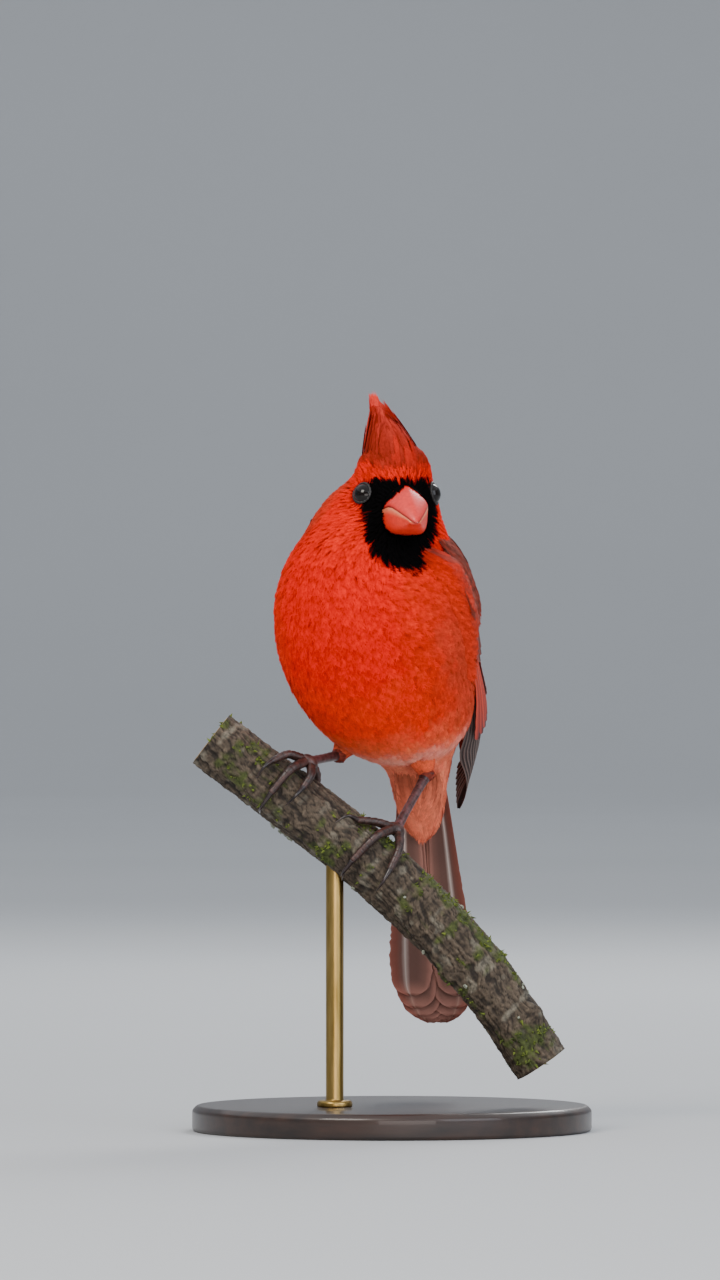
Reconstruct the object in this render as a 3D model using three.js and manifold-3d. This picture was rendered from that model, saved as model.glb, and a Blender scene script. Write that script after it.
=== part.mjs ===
// A male northern cardinal at life size: a still model that grips a cut length of branch.
// A round base with one rod holds the branch up. Millimetres, +Z up, and the breast faces -Y.
// The origin is the centre of the base's underside, on the surface that the model stands on.
// "Left" and "right" are the bird's own sides, so its left is towards +X.

import * as THREE from "three";
import { mergeVertices } from "three/addons/utils/BufferGeometryUtils.js";
import Module from "manifold-3d";

const wasm = await Module();
wasm.setup();

// Clear space between two pieces that meet.
const GAP = 0.3;
const SIDES = { left: 1, right: -1 };

// The stand: a round base with one rod up to the branch
const BASE = { radius: 62, height: 8, edge: 1.5, segments: 48 };
const ROD = {
  x: -17.7,
  radius: 2.75,
  collarRadius: 5.5,
  collarHeight: 2,
  collarEdge: 0.6,
  top: 100,
  segments: 16,
};

// The branch: its middle line in the X-Z plane, at one depth, with a radius for each share of it
const PERCH = {
  depth: -12,
  line: [[-56, 121.5], [-29.4, 101], [3.4, 74.9], [29, 46.5], [46, 21]],
  radius: [[0, 9.3], [0.25, 9.6], [0.5, 9.7], [0.75, 9.2], [1, 8.7]],
  ripple: 0.35,
  steps: 30,
  sides: 12,
};
// Knots and twig scars: share along the branch, degrees from its top towards the breast side, height, spread
const PERCH_KNOTS = [
  { share: 0.05, angle: 70, height: 2.2, spread: 3.6 },
  { share: 0.62, angle: -60, height: 1.6, spread: 4.2 },
  { share: 0.72, angle: 150, height: 1.4, spread: 3.4 },
  { share: 0.9, angle: 40, height: 2.4, spread: 3.6 },
];

const v3 = (x, y, z) => new THREE.Vector3(x, y, z);
const { lerp, degToRad, smoothstep } = THREE.MathUtils;

// Frames and curves

/** A frame at a point: ahead by a heading from -Y towards +X and a rise above level, then left and up. */
function frameAt([x, y, z], headingDeg, riseDeg) {
  const heading = degToRad(headingDeg);
  const rise = degToRad(riseDeg);
  const origin = v3(x, y, z);
  const ahead = v3(Math.sin(heading) * Math.cos(rise), -Math.cos(heading) * Math.cos(rise), Math.sin(rise));
  const left = v3(Math.cos(heading), Math.sin(heading), 0);
  const up = ahead.clone().cross(left);
  const turn = (a, l, u) => {
    return v3(0, 0, 0).addScaledVector(ahead, a).addScaledVector(left, l).addScaledVector(up, u);
  };
  const local = (point) => {
    const offset = point.clone().sub(origin);
    return [offset.dot(ahead), offset.dot(left), offset.dot(up)];
  };
  return { origin, ahead, left, up, turn, local, at: (a, l, u) => turn(a, l, u).add(origin) };
}

/** A smooth function through [x, value] stations, flat beyond the ends. */
function profile(stations) {
  const last = stations.length - 1;
  const slope = (k) => {
    if (k <= 0 || k >= last) return 0;
    return (stations[k + 1][1] - stations[k - 1][1]) / (stations[k + 1][0] - stations[k - 1][0]);
  };
  return (x) => {
    if (x <= stations[0][0]) return stations[0][1];
    if (x >= stations[last][0]) return stations[last][1];
    const i = stations.findIndex((_, k) => k < last && x <= stations[k + 1][0]);
    const [x0, y0] = stations[i];
    const [x1, y1] = stations[i + 1];
    const t = (x - x0) / (x1 - x0);
    const bend = (1 - t) * slope(i) - t * slope(i + 1);
    const chord = (y1 - y0) / (x1 - x0);
    const ends = t * (1 - t) * (x1 - x0) * (bend - chord * (1 - 2 * t));
    return lerp(y0, y1, t) + ends;
  };
}

// Surfaces and solids

/** A closed geometry from its points and triangles. */
function geometryFrom(points, triangles) {
  return new THREE.BufferGeometry().setFromPoints(points).setIndex(triangles.flat());
}

/** A closed surface through rings of equally many points, with one point in the middle of each end. */
function loft(rings, startPoint, endPoint) {
  const sides = rings[0].length;
  const middle = (ring) => ring.reduce((sum, p) => sum.add(p), v3(0, 0, 0)).divideScalar(sides);
  const points = [...rings.flat(), startPoint ?? middle(rings[0]), endPoint ?? middle(rings.at(-1))];
  const start = points.length - 2;
  const end = points.length - 1;
  const lastRing = (rings.length - 1) * sides;
  const triangles = [];
  for (let j = 0; j < sides; j += 1) {
    const next = (j + 1) % sides;
    triangles.push([start, next, j], [end, lastRing + j, lastRing + next]);
    for (let i = 0; i < rings.length - 1; i += 1) {
      const a = i * sides + j;
      const b = i * sides + next;
      triangles.push([a, b, b + sides], [a, b + sides, a + sides]);
    }
  }
  return geometryFrom(points, triangles);
}

/** A thin closed plate. Each row holds equally many points of its upper face and of its lower face. */
function plate(rows) {
  const across = rows[0].upper.length;
  const points = rows.flatMap(({ upper, lower }) => [...upper, ...lower]);
  const at = (row, column, face) => row * across * 2 + face * across + column;
  const triangles = [];
  for (let i = 0; i < rows.length - 1; i += 1) {
    for (let j = 0; j < across - 1; j += 1) {
      for (const face of [0, 1]) {
        const [a, b, c, d] = [at(i, j, face), at(i, j + 1, face), at(i + 1, j + 1, face), at(i + 1, j, face)];
        triangles.push(...(face ? [[a, c, b], [a, d, c]] : [[a, b, c], [a, c, d]]));
      }
    }
    for (const j of [0, across - 1]) {
      const [a, b, c, d] = [at(i, j, 0), at(i, j, 1), at(i + 1, j, 1), at(i + 1, j, 0)];
      triangles.push(...(j ? [[a, b, c], [a, c, d]] : [[a, c, b], [a, d, c]]));
    }
  }
  for (const i of [0, rows.length - 1]) {
    for (let j = 0; j < across - 1; j += 1) {
      const [a, b, c, d] = [at(i, j, 0), at(i, j + 1, 0), at(i, j + 1, 1), at(i, j, 1)];
      triangles.push(...(i ? [[a, b, c], [a, c, d]] : [[a, c, b], [a, d, c]]));
    }
  }
  return geometryFrom(points, triangles);
}

/** A geometry as a manifold-3d solid, turned the right way out. */
function solidOf(geometry) {
  const bare = geometry.clone();
  bare.deleteAttribute("normal");
  bare.deleteAttribute("uv");
  const merged = mergeVertices(bare, 1e-4);
  const triVerts = new Uint32Array(merged.index.array);
  const vertProperties = merged.attributes.position.array;
  const solid = new wasm.Manifold(new wasm.Mesh({ numProp: 3, vertProperties, triVerts }));
  if (solid.volume() > 0) return solid;
  for (let i = 0; i < triVerts.length; i += 3) {
    [triVerts[i + 1], triVerts[i + 2]] = [triVerts[i + 2], triVerts[i + 1]];
  }
  return new wasm.Manifold(new wasm.Mesh({ numProp: 3, vertProperties, triVerts }));
}

const joined = (solids) => solids.reduce((whole, solid) => whole.add(solid));

/** The largest closed body of a solid. */
function largest(solid) {
  return solid.decompose().reduce((best, body) => (body.volume() > best.volume() ? body : best));
}

/** A manifold-3d solid as a three.js geometry. */
function geometryOf(solid) {
  const mesh = solid.getMesh();
  const positions = new Float32Array(mesh.numVert * 3);
  for (let i = 0; i < mesh.numVert; i += 1) {
    positions.set(mesh.vertProperties.subarray(i * mesh.numProp, i * mesh.numProp + 3), i * 3);
  }
  const geometry = new THREE.BufferGeometry();
  geometry.setAttribute("position", new THREE.BufferAttribute(positions, 3));
  geometry.setIndex(new THREE.BufferAttribute(mesh.triVerts, 1));
  geometry.computeVertexNormals();
  return geometry;
}

/** A round rod along a path. Its radius and its outward side are functions of the share along it. */
function rod(path, { steps, sides, radiusAt, outwardAt, start = 0, end = 1 }) {
  const rings = [];
  for (let i = 0; i <= steps; i += 1) {
    const share = i / steps;
    const t = lerp(start, end, share);
    const centre = path.getPointAt(t);
    const along = path.getTangentAt(t);
    const side = along.clone().cross(outwardAt(t)).normalize();
    const out = side.clone().cross(along);
    const ring = [];
    for (let j = 0; j < sides; j += 1) {
      const angle = (2 * Math.PI * (j + 0.5)) / sides;
      const radius = radiusAt(t, angle);
      const point = centre.clone().addScaledVector(side, radius * Math.cos(angle));
      ring.push(point.addScaledVector(out, radius * Math.sin(angle)));
    }
    rings.push(ring);
  }
  return solidOf(loft(rings));
}

/** An ellipsoid in a frame. */
function ellipsoid(frame, [a, l, u], [ra, rl, ru], across, down) {
  const ball = new THREE.SphereGeometry(1, across, down);
  const axes = [frame.turn(ra, 0, 0), frame.turn(0, rl, 0), frame.turn(0, 0, ru)];
  const basis = new THREE.Matrix4().makeBasis(...axes);
  return solidOf(ball.applyMatrix4(basis.setPosition(frame.at(a, l, u))));
}

/** A box in a frame, from its middle and its sizes ahead, left and up. */
function block(frame, [a, l, u], [long, wide, tall]) {
  const box = new THREE.BoxGeometry(long, wide, tall);
  const basis = new THREE.Matrix4().makeBasis(frame.ahead, frame.left, frame.up);
  return solidOf(box.applyMatrix4(basis.setPosition(frame.at(a, l, u))));
}

// The bird's stance. The body leans back from upright with its breast to the right of the viewer's
// line, the head is turned back to the left, and the tail hangs behind the branch.

const body = frameAt([-6.2, -6, 154.6], -22, 57);
const head = frameAt([1.4, -23, 197.2], 14, -10);
// The tail's frame looks back up the tail towards the body.
const tail = frameAt([8.9, 19, 122.9], -10, 70);

// The plumage is a smooth union of lobes: frame, centre and half-sizes, each ahead, left and up.
const PLUMAGE_BLEND = 2.4;
const PLUMAGE_MESH = { steps: 40, sides: 32 };
const plumageLobes = [
  { frame: body, centre: [0, 1.2, -5], half: [42, 29.8, 23.4] }, // breast and belly
  { frame: body, centre: [0, 1.2, 6.5], half: [41, 26.2, 20.5] }, // back
  { frame: body, centre: [27.5, 3.4, 9.8], half: [19, 18.5, 16.5] }, // neck
  { frame: body, centre: [20, 13, 8], half: [16, 15, 13] }, // left shoulder
  { frame: body, centre: [-24, 8.5, -1], half: [19.5, 19, 16.5] }, // left flank
  { frame: body, centre: [-33.7, 3.6, 3], half: [19, 14.5, 12.5] }, // rump
  { frame: head, centre: [-3, 0, 0.4], half: [13, 10.5, 12] }, // skull
  { frame: head, centre: [5, 0, -4], half: [7.6, 7.4, 7.6] }, // face round the bill
  { frame: head, centre: [-5.5, 0, -6.5], half: [11.5, 13.2, 10.6] }, // cheeks
  { frame: head, centre: [1, 0, -12.5], half: [9.4, 11.4, 9.8] }, // chin and bib
  { frame: head, centre: [-5, 0, 8], half: [8.8, 10.2, 7.2] }, // crown, the crest's core
  { frame: tail, centre: [-13.5, 0, -7], half: [22, 8.3, 5] }, // coverts under the tail
  { frame: tail, centre: [-5, 0, 1.2], half: [20, 8.6, 5.2] }, // coverts above the tail
];

/** How far a point is outside a lobe, in millimetres near its surface, and negative inside. */
function lobeDistance({ frame, centre, half }, point) {
  const scaled = frame.local(point).map((x, i) => (x - centre[i]) / half[i]);
  const size = Math.hypot(...scaled);
  const slope = Math.hypot(...scaled.map((x, i) => x / half[i]));
  return slope > 1e-9 ? (size * (size - 1)) / slope : -Math.min(...half);
}

/** The plumage's smooth field at a point: zero on its surface, positive outside. */
function plumageField(point) {
  const near = (lobe) => Math.exp(-lobeDistance(lobe, point) / PLUMAGE_BLEND);
  return -PLUMAGE_BLEND * Math.log(plumageLobes.reduce((sum, lobe) => sum + near(lobe), 0));
}

/** The first point on a ray from inside the plumage where its field reaches a level. */
function plumagePoint(from, direction, level) {
  const STRIDE = 1;
  const REACH = 70;
  const HALVINGS = 12;
  const at = (distance) => from.clone().addScaledVector(direction, distance);
  let inside = 0;
  let outside = STRIDE;
  while (outside < REACH && plumageField(at(outside)) < level) {
    inside = outside;
    outside += STRIDE;
  }
  for (let i = 0; i < HALVINGS; i += 1) {
    const middle = (inside + outside) / 2;
    if (plumageField(at(middle)) < level) inside = middle;
    else outside = middle;
  }
  return at(outside);
}

// The line from under the tail up to the crown that the plumage's cross-sections are set on.
const plumageLine = new THREE.CatmullRomCurve3(
  [
    tail.at(-33, 0, -6),
    tail.at(-14, 0, -4),
    body.at(-31, 1, 4),
    body.at(-15, 0, 2),
    body.at(4, 0.5, 0),
    body.at(19, 5, 1),
    head.at(-2, 0, -9),
    head.at(-2.5, 0, 2),
    head.at(-4, -0.8, 16),
  ],
  false,
  "centripetal",
);

/** The direction that the plumage's cross-sections are square to, turning evenly from tail to crown. */
function plumageAhead(t) {
  const ahead = tail.ahead.clone().lerp(body.ahead, smoothstep(t, 0.05, 0.35));
  return ahead.lerp(head.up, smoothstep(t, 0.5, 0.9)).normalize();
}

/** The plumage's closed surface, set off by a level, as rings round its line. */
function plumageSurface(level) {
  const { steps, sides } = PLUMAGE_MESH;
  const rings = [];
  for (let i = 0; i <= steps; i += 1) {
    const t = i / steps;
    const centre = plumageLine.getPointAt(t);
    const along = plumageAhead(t);
    const side = body.left.clone().lerp(head.left, smoothstep(t, 0.5, 0.9));
    side.addScaledVector(along, -side.dot(along)).normalize();
    const back = along.clone().cross(side);
    const ring = [];
    for (let j = 0; j < sides; j += 1) {
      const angle = (2 * Math.PI * j) / sides;
      const direction = side.clone().multiplyScalar(Math.cos(angle)).addScaledVector(back, Math.sin(angle));
      ring.push(plumagePoint(centre, direction, level));
    }
    rings.push(ring);
  }
  const pole = (t, sense) => {
    return plumagePoint(plumageLine.getPointAt(t), plumageAhead(t).multiplyScalar(sense), level);
  };
  return loft(rings, pole(0, -1), pole(1, 1));
}

const plumage = solidOf(plumageSurface(0));
const plumageCutter = solidOf(plumageSurface(GAP));

/** A solid cut back from the plumage, so that it meets it face to face. */
const besidePlumage = (solid) => largest(solid.subtract(plumageCutter));

// Where the plumage is parted into the rump, the torso, the neck and the head
const PARTINGS = [
  frameAt(body.at(-31, 0, 0).toArray(), -14, 64),
  frameAt([-5, -20, 169.5], -6, 60),
  frameAt([-3, -21, 180], 4, 66),
];

/** The plumage's pieces from the rump up to the head. */
function partedPlumage() {
  const WIDE = 150;
  const LEAST_VOLUME = 50;
  const slabs = PARTINGS.map((frame) => block(frame, [0, 0, 0], [GAP, WIDE, WIDE]));
  const pieces = slabs.reduce((whole, slab) => whole.subtract(slab), plumage).decompose();
  const height = (piece) => piece.boundingBox().min[2] + piece.boundingBox().max[2];
  const whole = pieces.filter((piece) => piece.volume() > LEAST_VOLUME);
  return whole.sort((one, other) => height(one) - height(other));
}

// Eyes and lids

const EYE = {
  radius: 3.3,
  centre: { left: [2.8, 9.2, 0.3], right: [2.8, -10, 0.3] },
  faces: { left: [0.36, 0.93, 0.06], right: [0.36, -0.93, 0.06] },
  sides: 14,
};
const LID = { ring: 2.75, thickness: 0.5 };

const eyeCentre = (name) => head.at(...EYE.centre[name]);

function eyeball(name, extra = 0) {
  const ball = new THREE.SphereGeometry(EYE.radius + extra, EYE.sides, 9);
  return solidOf(ball.translate(...eyeCentre(name)));
}

/** The bare rim of lid round an eye, a ring that stands out of the face. */
function lidRing(name) {
  const axis = head.turn(...EYE.faces[name]).normalize();
  const seat = Math.sqrt(EYE.radius ** 2 - LID.ring ** 2);
  const ring = new THREE.TorusGeometry(LID.ring, LID.thickness, 5, EYE.sides);
  ring.applyQuaternion(new THREE.Quaternion().setFromUnitVectors(v3(0, 0, 1), axis));
  return solidOf(ring.translate(...eyeCentre(name).addScaledVector(axis, seat)));
}

// The bill, in the head's frame. Profiles run from inside the face, at the left, to the tip.

const BILL = {
  base: 7.5,
  upperTip: 26.5,
  lowerTip: 24.6,
  ridge: profile([[7.5, 5], [11, 4.4], [16, 2.9], [21, 0.2], [24.5, -2.6], [26.5, -4.5]]),
  mouth: profile([[7.5, -5.4], [11, -4.6], [15, -2.8], [18, -2.5], [23, -3.8], [26.5, -5.1]]),
  keel: profile([[7.5, -10.4], [12, -10.2], [17, -9.4], [21, -7.8], [24.6, -5.6]]),
  halfWidth: profile([[7.5, 7.1], [12, 6.9], [16, 5.9], [20, 4.2], [24, 2], [26.5, 0.5]]),
  // How round a section is: 1 is an ellipse, less is squarer and more is more like a ridge.
  upperRound: 1.15,
  lowerRound: 0.72,
  nostril: { ahead: 13.4, out: 4.5, up: 1.2, radius: 0.75 },
};

/** One half of the bill: an arch between its ridge or keel and the mouth line, narrowing to its tip. */
function billHalf(ridge, tip, sense, round) {
  const STEPS = 9;
  const ARCH = 9;
  const rings = [];
  for (let i = 0; i <= STEPS; i += 1) {
    const a = lerp(BILL.base, tip, Math.sin(((i / STEPS) * Math.PI) / 2));
    const edge = BILL.mouth(a) + (sense * GAP) / 2;
    const tall = Math.max(sense * (ridge(a) - edge), 0.3);
    const ring = [];
    for (let j = 0; j <= ARCH; j += 1) {
      const angle = (Math.PI * j) / ARCH;
      const across = Math.sign(Math.cos(angle)) * Math.abs(Math.cos(angle)) ** round;
      ring.push(head.at(a, BILL.halfWidth(a) * across, edge + sense * tall * Math.sin(angle) ** round));
    }
    rings.push(ring);
  }
  return solidOf(loft(rings));
}

/** The small round pits that the bird breathes through, near the base of the upper half. */
function nostril(side) {
  const { ahead, out, up, radius } = BILL.nostril;
  return solidOf(new THREE.SphereGeometry(radius, 8, 6).translate(...head.at(ahead, side * out, up)));
}

function upperBill() {
  const whole = billHalf(BILL.ridge, BILL.upperTip, 1, BILL.upperRound);
  return besidePlumage(whole.subtract(nostril(1)).subtract(nostril(-1)));
}

const lowerBill = () => besidePlumage(billHalf(BILL.keel, BILL.lowerTip, -1, BILL.lowerRound));

// The crest: rows of narrow feathers from the brow to the nape, swept up to one tip that leans right

const CREST = {
  rows: 5,
  columns: 5,
  firstRoot: 8.1,
  lastRoot: -12,
  spread: 8.8,
  firstTip: [-2, 0, 17.5],
  lastTip: [-19, -4.6, 28.7],
  halfWidth: 2.25,
  thickness: 0.6,
  sink: 1.9,
};

/** A feather as a plate along a curve, with its upper face turned towards a direction at each share. */
function vaneAlong(path, facingAt, halfWidthAt, thickness, steps) {
  const rows = [];
  for (let i = 0; i <= steps; i += 1) {
    const t = i / steps;
    const centre = path.getPoint(t);
    const along = path.getTangent(t);
    const side = facingAt(t).cross(along).normalize();
    const out = along.clone().cross(side);
    const deep = (thickness / 2) * (1 - 0.4 * t);
    const corner = (across, lift) => {
      return centre.clone().addScaledVector(side, across * halfWidthAt(t)).addScaledVector(out, lift);
    };
    rows.push({ upper: [corner(1, deep), corner(-1, deep)], lower: [corner(1, -deep), corner(-1, -deep)] });
  }
  return solidOf(plate(rows));
}

function crestFeather(row, column) {
  const back = row / (CREST.rows - 1);
  const side = (column / (CREST.columns - 1)) * 2 - 1;
  const above = [lerp(CREST.firstRoot, CREST.lastRoot, back), side * CREST.spread * (1 - 0.3 * back), 2];
  const up = head.turn(-0.25 * back, 0.45 * side, 1).normalize();
  const root = plumagePoint(head.at(...above), up, 0).addScaledVector(up, -CREST.sink);
  const [tipAhead, tipLeft, tipUp] = CREST.firstTip.map((x, i) => lerp(x, CREST.lastTip[i], back ** 0.8));
  const tip = head.at(tipAhead, tipLeft + side * lerp(5, 1, back), tipUp - 2.2 * side ** 2 * (1 - back));
  const bulge = root.clone().lerp(tip, 0.5).add(head.turn(1.8 - 3 * back, side * 0.6, 1.2 - back));
  const path = new THREE.QuadraticBezierCurve3(root, bulge, tip);
  const core = head.at(-6, -1, 6).lerp(tip, 0.2);
  const halfWidthAt = (t) => CREST.halfWidth * (0.6 + 0.4 * Math.sin(Math.PI * t)) * (1 - 0.75 * t ** 3);
  return vaneAlong(path, (t) => path.getPoint(t).sub(core), halfWidthAt, CREST.thickness, 3);
}

function crest() {
  const feathers = [];
  for (let row = 0; row < CREST.rows; row += 1) {
    for (let column = 0; column < CREST.columns; column += 1) feathers.push(crestFeather(row, column));
  }
  return feathers;
}

function headWithCrest(piece) {
  const whole = joined([piece, ...crest(), lidRing("left"), lidRing("right")]);
  return largest(whole.subtract(eyeball("left", GAP)).subtract(eyeball("right", GAP)));
}

// Folded wings. Each wraps the body: s runs along the body, q is millimetres round it towards the
// back from the wing's lower edge, and a lift is outwards. The left wing hangs beside the tail's
// root, and the right one lies over it.

const WING = {
  shift: profile([[-68, 6.2], [-62, 5.5], [-37, 3], [-10, 0.5], [10, 0]]),
  rise: profile([[-68, 0], [-62, 2], [-50, 6], [-37, 5], [-20, 1.5], [-8, 0]]),
  back: profile([
    [-68, 8],
    [-62, 9],
    [-50, 11.5],
    [-37, 18],
    [-20, 25.8],
    [-10, 28.6],
    [7, 30],
    [20, 28],
    [34, 22],
  ]),
  side: {
    left: profile([
      [-68, 7],
      [-62, 9.5],
      [-50, 19.5],
      [-37, 27.4],
      [-20, 31.2],
      [-4, 33],
      [8, 33.8],
      [21, 32],
      [34, 26],
    ]),
    right: profile([
      [-68, 7],
      [-62, 9],
      [-50, 17],
      [-37, 23.5],
      [-20, 28.8],
      [-4, 30.6],
      [8, 30.6],
      [21, 26.4],
      [34, 20],
    ]),
  },
  lowerEdge: {
    left: profile([[-68, 10], [-62, 0], [-50, -34], [-37, -20], [-20, 2], [10, 4], [34, 6]]),
    right: profile([[-68, 0], [-62, 0], [-50, -10], [-37, 0], [-20, 12], [10, 12], [34, 8]]),
  },
  thickness: 0.55,
  rootSink: 0.9,
};

/** A point of a folded wing. */
function wingPoint(name, s, q, lift) {
  const out = WING.side[name](s);
  const back = WING.back(s);
  const angle = degToRad(WING.lowerEdge[name](s)) + (2 * q) / (out + back);
  const across = WING.shift(s) + SIDES[name] * (out + lift) * Math.cos(angle);
  return body.at(s, across, WING.rise(s) + (back + lift) * Math.sin(angle));
}

// Feather tiers, each fanned from its first feather, nearest the back, to its last. Places are [s, q],
// and each feather lies a step lower than the one before it.
const WING_TIERS = [
  // tertials
  {
    count: 3,
    roots: [[2, 26], [0, 19]],
    tips: [[-24, 28], [-33, 21]],
    half: 5.2,
    lift: 0.9,
    step: -0.62,
    sag: 0,
  },
  // secondaries
  {
    count: 4,
    roots: [[-1, 17], [0, 8]],
    tips: [[-36, 18], [-41, 9]],
    half: 4.8,
    lift: -1,
    step: -0.62,
    sag: 0.4,
  },
  // primaries
  {
    count: 4,
    roots: [[0, 7], [5, 2]],
    tips: [[-48, 11], [-67, 5]],
    half: 4.2,
    lift: -3.5,
    step: -0.62,
    sag: 1,
  },
  // greater coverts
  {
    count: 5,
    roots: [[8, 25], [10, 4]],
    tips: [[-7, 27], [-13, 4]],
    half: 4,
    lift: 1.1,
    step: -0.62,
    sag: 0,
  },
  // median coverts
  {
    count: 4,
    roots: [[20, 21], [22, 5]],
    tips: [[5, 25.5], [1, 4]],
    half: 4.2,
    lift: 1.4,
    step: -0.4,
    sag: 0,
  },
];
const WING_VANE_WIDTH = profile([[0, 0.5], [0.3, 0.85], [0.7, 1], [0.9, 0.8], [1, 0.3]]);
const WING_VANE_STATIONS = [0, 0.3, 0.75, 1];

/** One feather of a folded wing, a plate that follows the wing's surface. */
function wingFeather(name, tier, index) {
  const share = index / (tier.count - 1);
  const place = ([first, last]) => first.map((x, i) => lerp(x, last[i], share));
  const [rootS, rootQ] = place(tier.roots);
  const [tipS, tipQ] = place(tier.tips);
  const rows = WING_VANE_STATIONS.map((t) => {
    const s = lerp(rootS, tipS, t);
    const q = lerp(rootQ, tipQ, t) - tier.sag * share * 4 * t * (1 - t);
    const half = tier.half * WING_VANE_WIDTH(t);
    const lift = tier.lift + tier.step * index - WING.rootSink * (1 - smoothstep(t, 0, 0.3));
    const face = (drop) => [q - half, q + half].map((edge) => wingPoint(name, s, edge, lift - drop));
    return { upper: face(0), lower: face(WING.thickness) };
  });
  return solidOf(plate(rows));
}

const WING_PAD = {
  steps: 9,
  sides: 12,
  from: -12,
  to: 34,
  halfWidth: profile([[-12, 8], [-4, 12], [8, 13.5], [20, 12], [28, 8.5], [34, 3]]),
  middle: profile([[-12, 15], [8, 13.5], [24, 12.5], [34, 12]]),
  depth: profile([[-12, 2.5], [0, 4.5], [14, 5], [27, 4], [34, 2]]),
};

/** The arm and shoulder of a folded wing, a flat rounded pad that its feathers are rooted in. */
function wingPad(name) {
  const { steps, sides, from, to, halfWidth, middle, depth } = WING_PAD;
  const rings = [];
  for (let i = 0; i <= steps; i += 1) {
    const s = lerp(from, to, i / steps);
    const ring = [];
    for (let j = 0; j < sides; j += 1) {
      const angle = (2 * Math.PI * j) / sides;
      const round = Math.sign(Math.sin(angle)) * Math.sqrt(Math.abs(Math.sin(angle)));
      const q = middle(s) + halfWidth(s) * Math.cos(angle);
      ring.push(wingPoint(name, s, q, (depth(s) / 2) * (round - 1)));
    }
    rings.push(ring);
  }
  return solidOf(loft(rings));
}

function wing(name) {
  const feathers = WING_TIERS.flatMap((tier) => {
    return Array.from({ length: tier.count }, (_, index) => wingFeather(name, tier, index));
  });
  return besidePlumage(joined([wingPad(name), ...feathers]));
}

// The tail: six pairs of feathers in a stack, the outer ones shorter and nearest the viewer

const TAIL = {
  lengths: [97, 97, 96, 94.5, 91.5, 87],
  rootSpread: 0.75,
  fan: 0.38,
  layer: 0.5,
  thickness: 0.6,
  arch: 0.35,
  halfWidth: profile([[0, 2], [0.25, 3.4], [0.6, 5.2], [0.85, 6.8], [0.95, 6], [1, 2.6]]),
  stations: [0, 0.4, 0.85, 0.95, 1],
  root: { top: 0.3, bottom: -4.1, from: 3, to: -14, halfWidth: 6.2 },
  slotTaper: 0.12,
};

function tailFeather(side, pair) {
  const length = TAIL.lengths[pair];
  const fan = Math.sin(degToRad(TAIL.fan * (pair + 0.5)));
  const layer = -TAIL.layer * (pair + (side > 0 ? 0 : 0.5));
  const rows = TAIL.stations.map((t) => {
    const half = TAIL.halfWidth(t);
    const middle = side * (TAIL.rootSpread * (pair + 0.4) + length * t * fan);
    const face = (drop) => {
      return [-1, 0, 1].map((k) => tail.at(-length * t, middle + k * half, layer - drop - TAIL.arch * k * k));
    };
    return { upper: face(0), lower: face(TAIL.thickness) };
  });
  return solidOf(plate(rows));
}

function tailFeathers() {
  const { top, bottom, from, to, halfWidth } = TAIL.root;
  const middle = [(from + to) / 2, 0, (top + bottom) / 2];
  const root = block(tail, middle, [from - to, 2 * halfWidth, top - bottom]);
  const feathers = TAIL.lengths.flatMap((_, pair) => [tailFeather(1, pair), tailFeather(-1, pair)]);
  return largest(joined([root, ...feathers]));
}

/** The slot between the coverts that the tail's root stands in, widening down the tail. */
function tailSlot() {
  const { top, bottom, from } = TAIL.root;
  const LONG = 60;
  const ring = (a, half) => [
    tail.at(a, half, top + GAP),
    tail.at(a, -half, top + GAP),
    tail.at(a, -half, bottom - GAP),
    tail.at(a, half, bottom - GAP),
  ];
  const half = TAIL.root.halfWidth + GAP;
  const start = from + GAP;
  const wide = (a) => half + TAIL.slotTaper * Math.max(0, -a) + 1.2 * smoothstep(-a, 0, 6);
  return solidOf(loft([start, 0, -6, -LONG].map((a) => ring(a, wide(a)))));
}

// The branch

const perchLine = new THREE.CatmullRomCurve3(
  PERCH.line.map(([x, z]) => v3(x, PERCH.depth, z)),
  false,
  "centripetal",
);
const perchLength = perchLine.getLength();
const perchRadius = profile(PERCH.radius);
const TOWARDS_VIEWER = v3(0, -1, 0);

/** A direction square to the branch, by its angle from the top towards the breast side. */
function perchOutward(share, angleDeg) {
  const top = TOWARDS_VIEWER.clone().cross(perchLine.getTangentAt(share));
  const angle = degToRad(angleDeg);
  return top.multiplyScalar(Math.cos(angle)).addScaledVector(TOWARDS_VIEWER, Math.sin(angle));
}

/** The bark's distance from the branch's middle line: long ridges, and the knots. */
function barkRadius(share, angleDeg) {
  const angle = degToRad(angleDeg);
  const ridges = Math.sin(3 * angle + 9 * share) + 0.7 * Math.sin(5 * angle - 17 * share + 1);
  const knots = PERCH_KNOTS.reduce((sum, knot) => {
    const around = degToRad(((angleDeg - knot.angle + 540) % 360) - 180) * perchRadius(share);
    const along = (share - knot.share) * perchLength;
    return sum + knot.height * Math.exp(-(around ** 2 + along ** 2) / knot.spread ** 2);
  }, 0);
  return perchRadius(share) + PERCH.ripple * ridges + knots;
}

/** A point over the bark: shares along the branch, degrees from its top, and a lift off the bark. */
function overBark(share, angleDeg, lift) {
  const radius = barkRadius(share, angleDeg) + lift;
  return perchLine.getPointAt(share).addScaledVector(perchOutward(share, angleDeg), radius);
}

function perch(extra = 0) {
  const rings = [];
  for (let i = 0; i <= PERCH.steps; i += 1) {
    const share = i / PERCH.steps;
    const ring = [];
    for (let j = 0; j < PERCH.sides; j += 1) ring.push(overBark(share, (360 * j) / PERCH.sides, extra));
    rings.push(ring);
  }
  return solidOf(loft(rings));
}

const perchCutter = perch(GAP);

/** A solid cut back from the bark, so that it rests on it face to face. */
const besidePerch = (solid) => largest(solid.subtract(perchCutter));

// Legs and feet. A toe's path over the bark is a list of [millimetres along the branch from the foot,
// degrees from its top towards the breast side, lift of its middle line].

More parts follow.
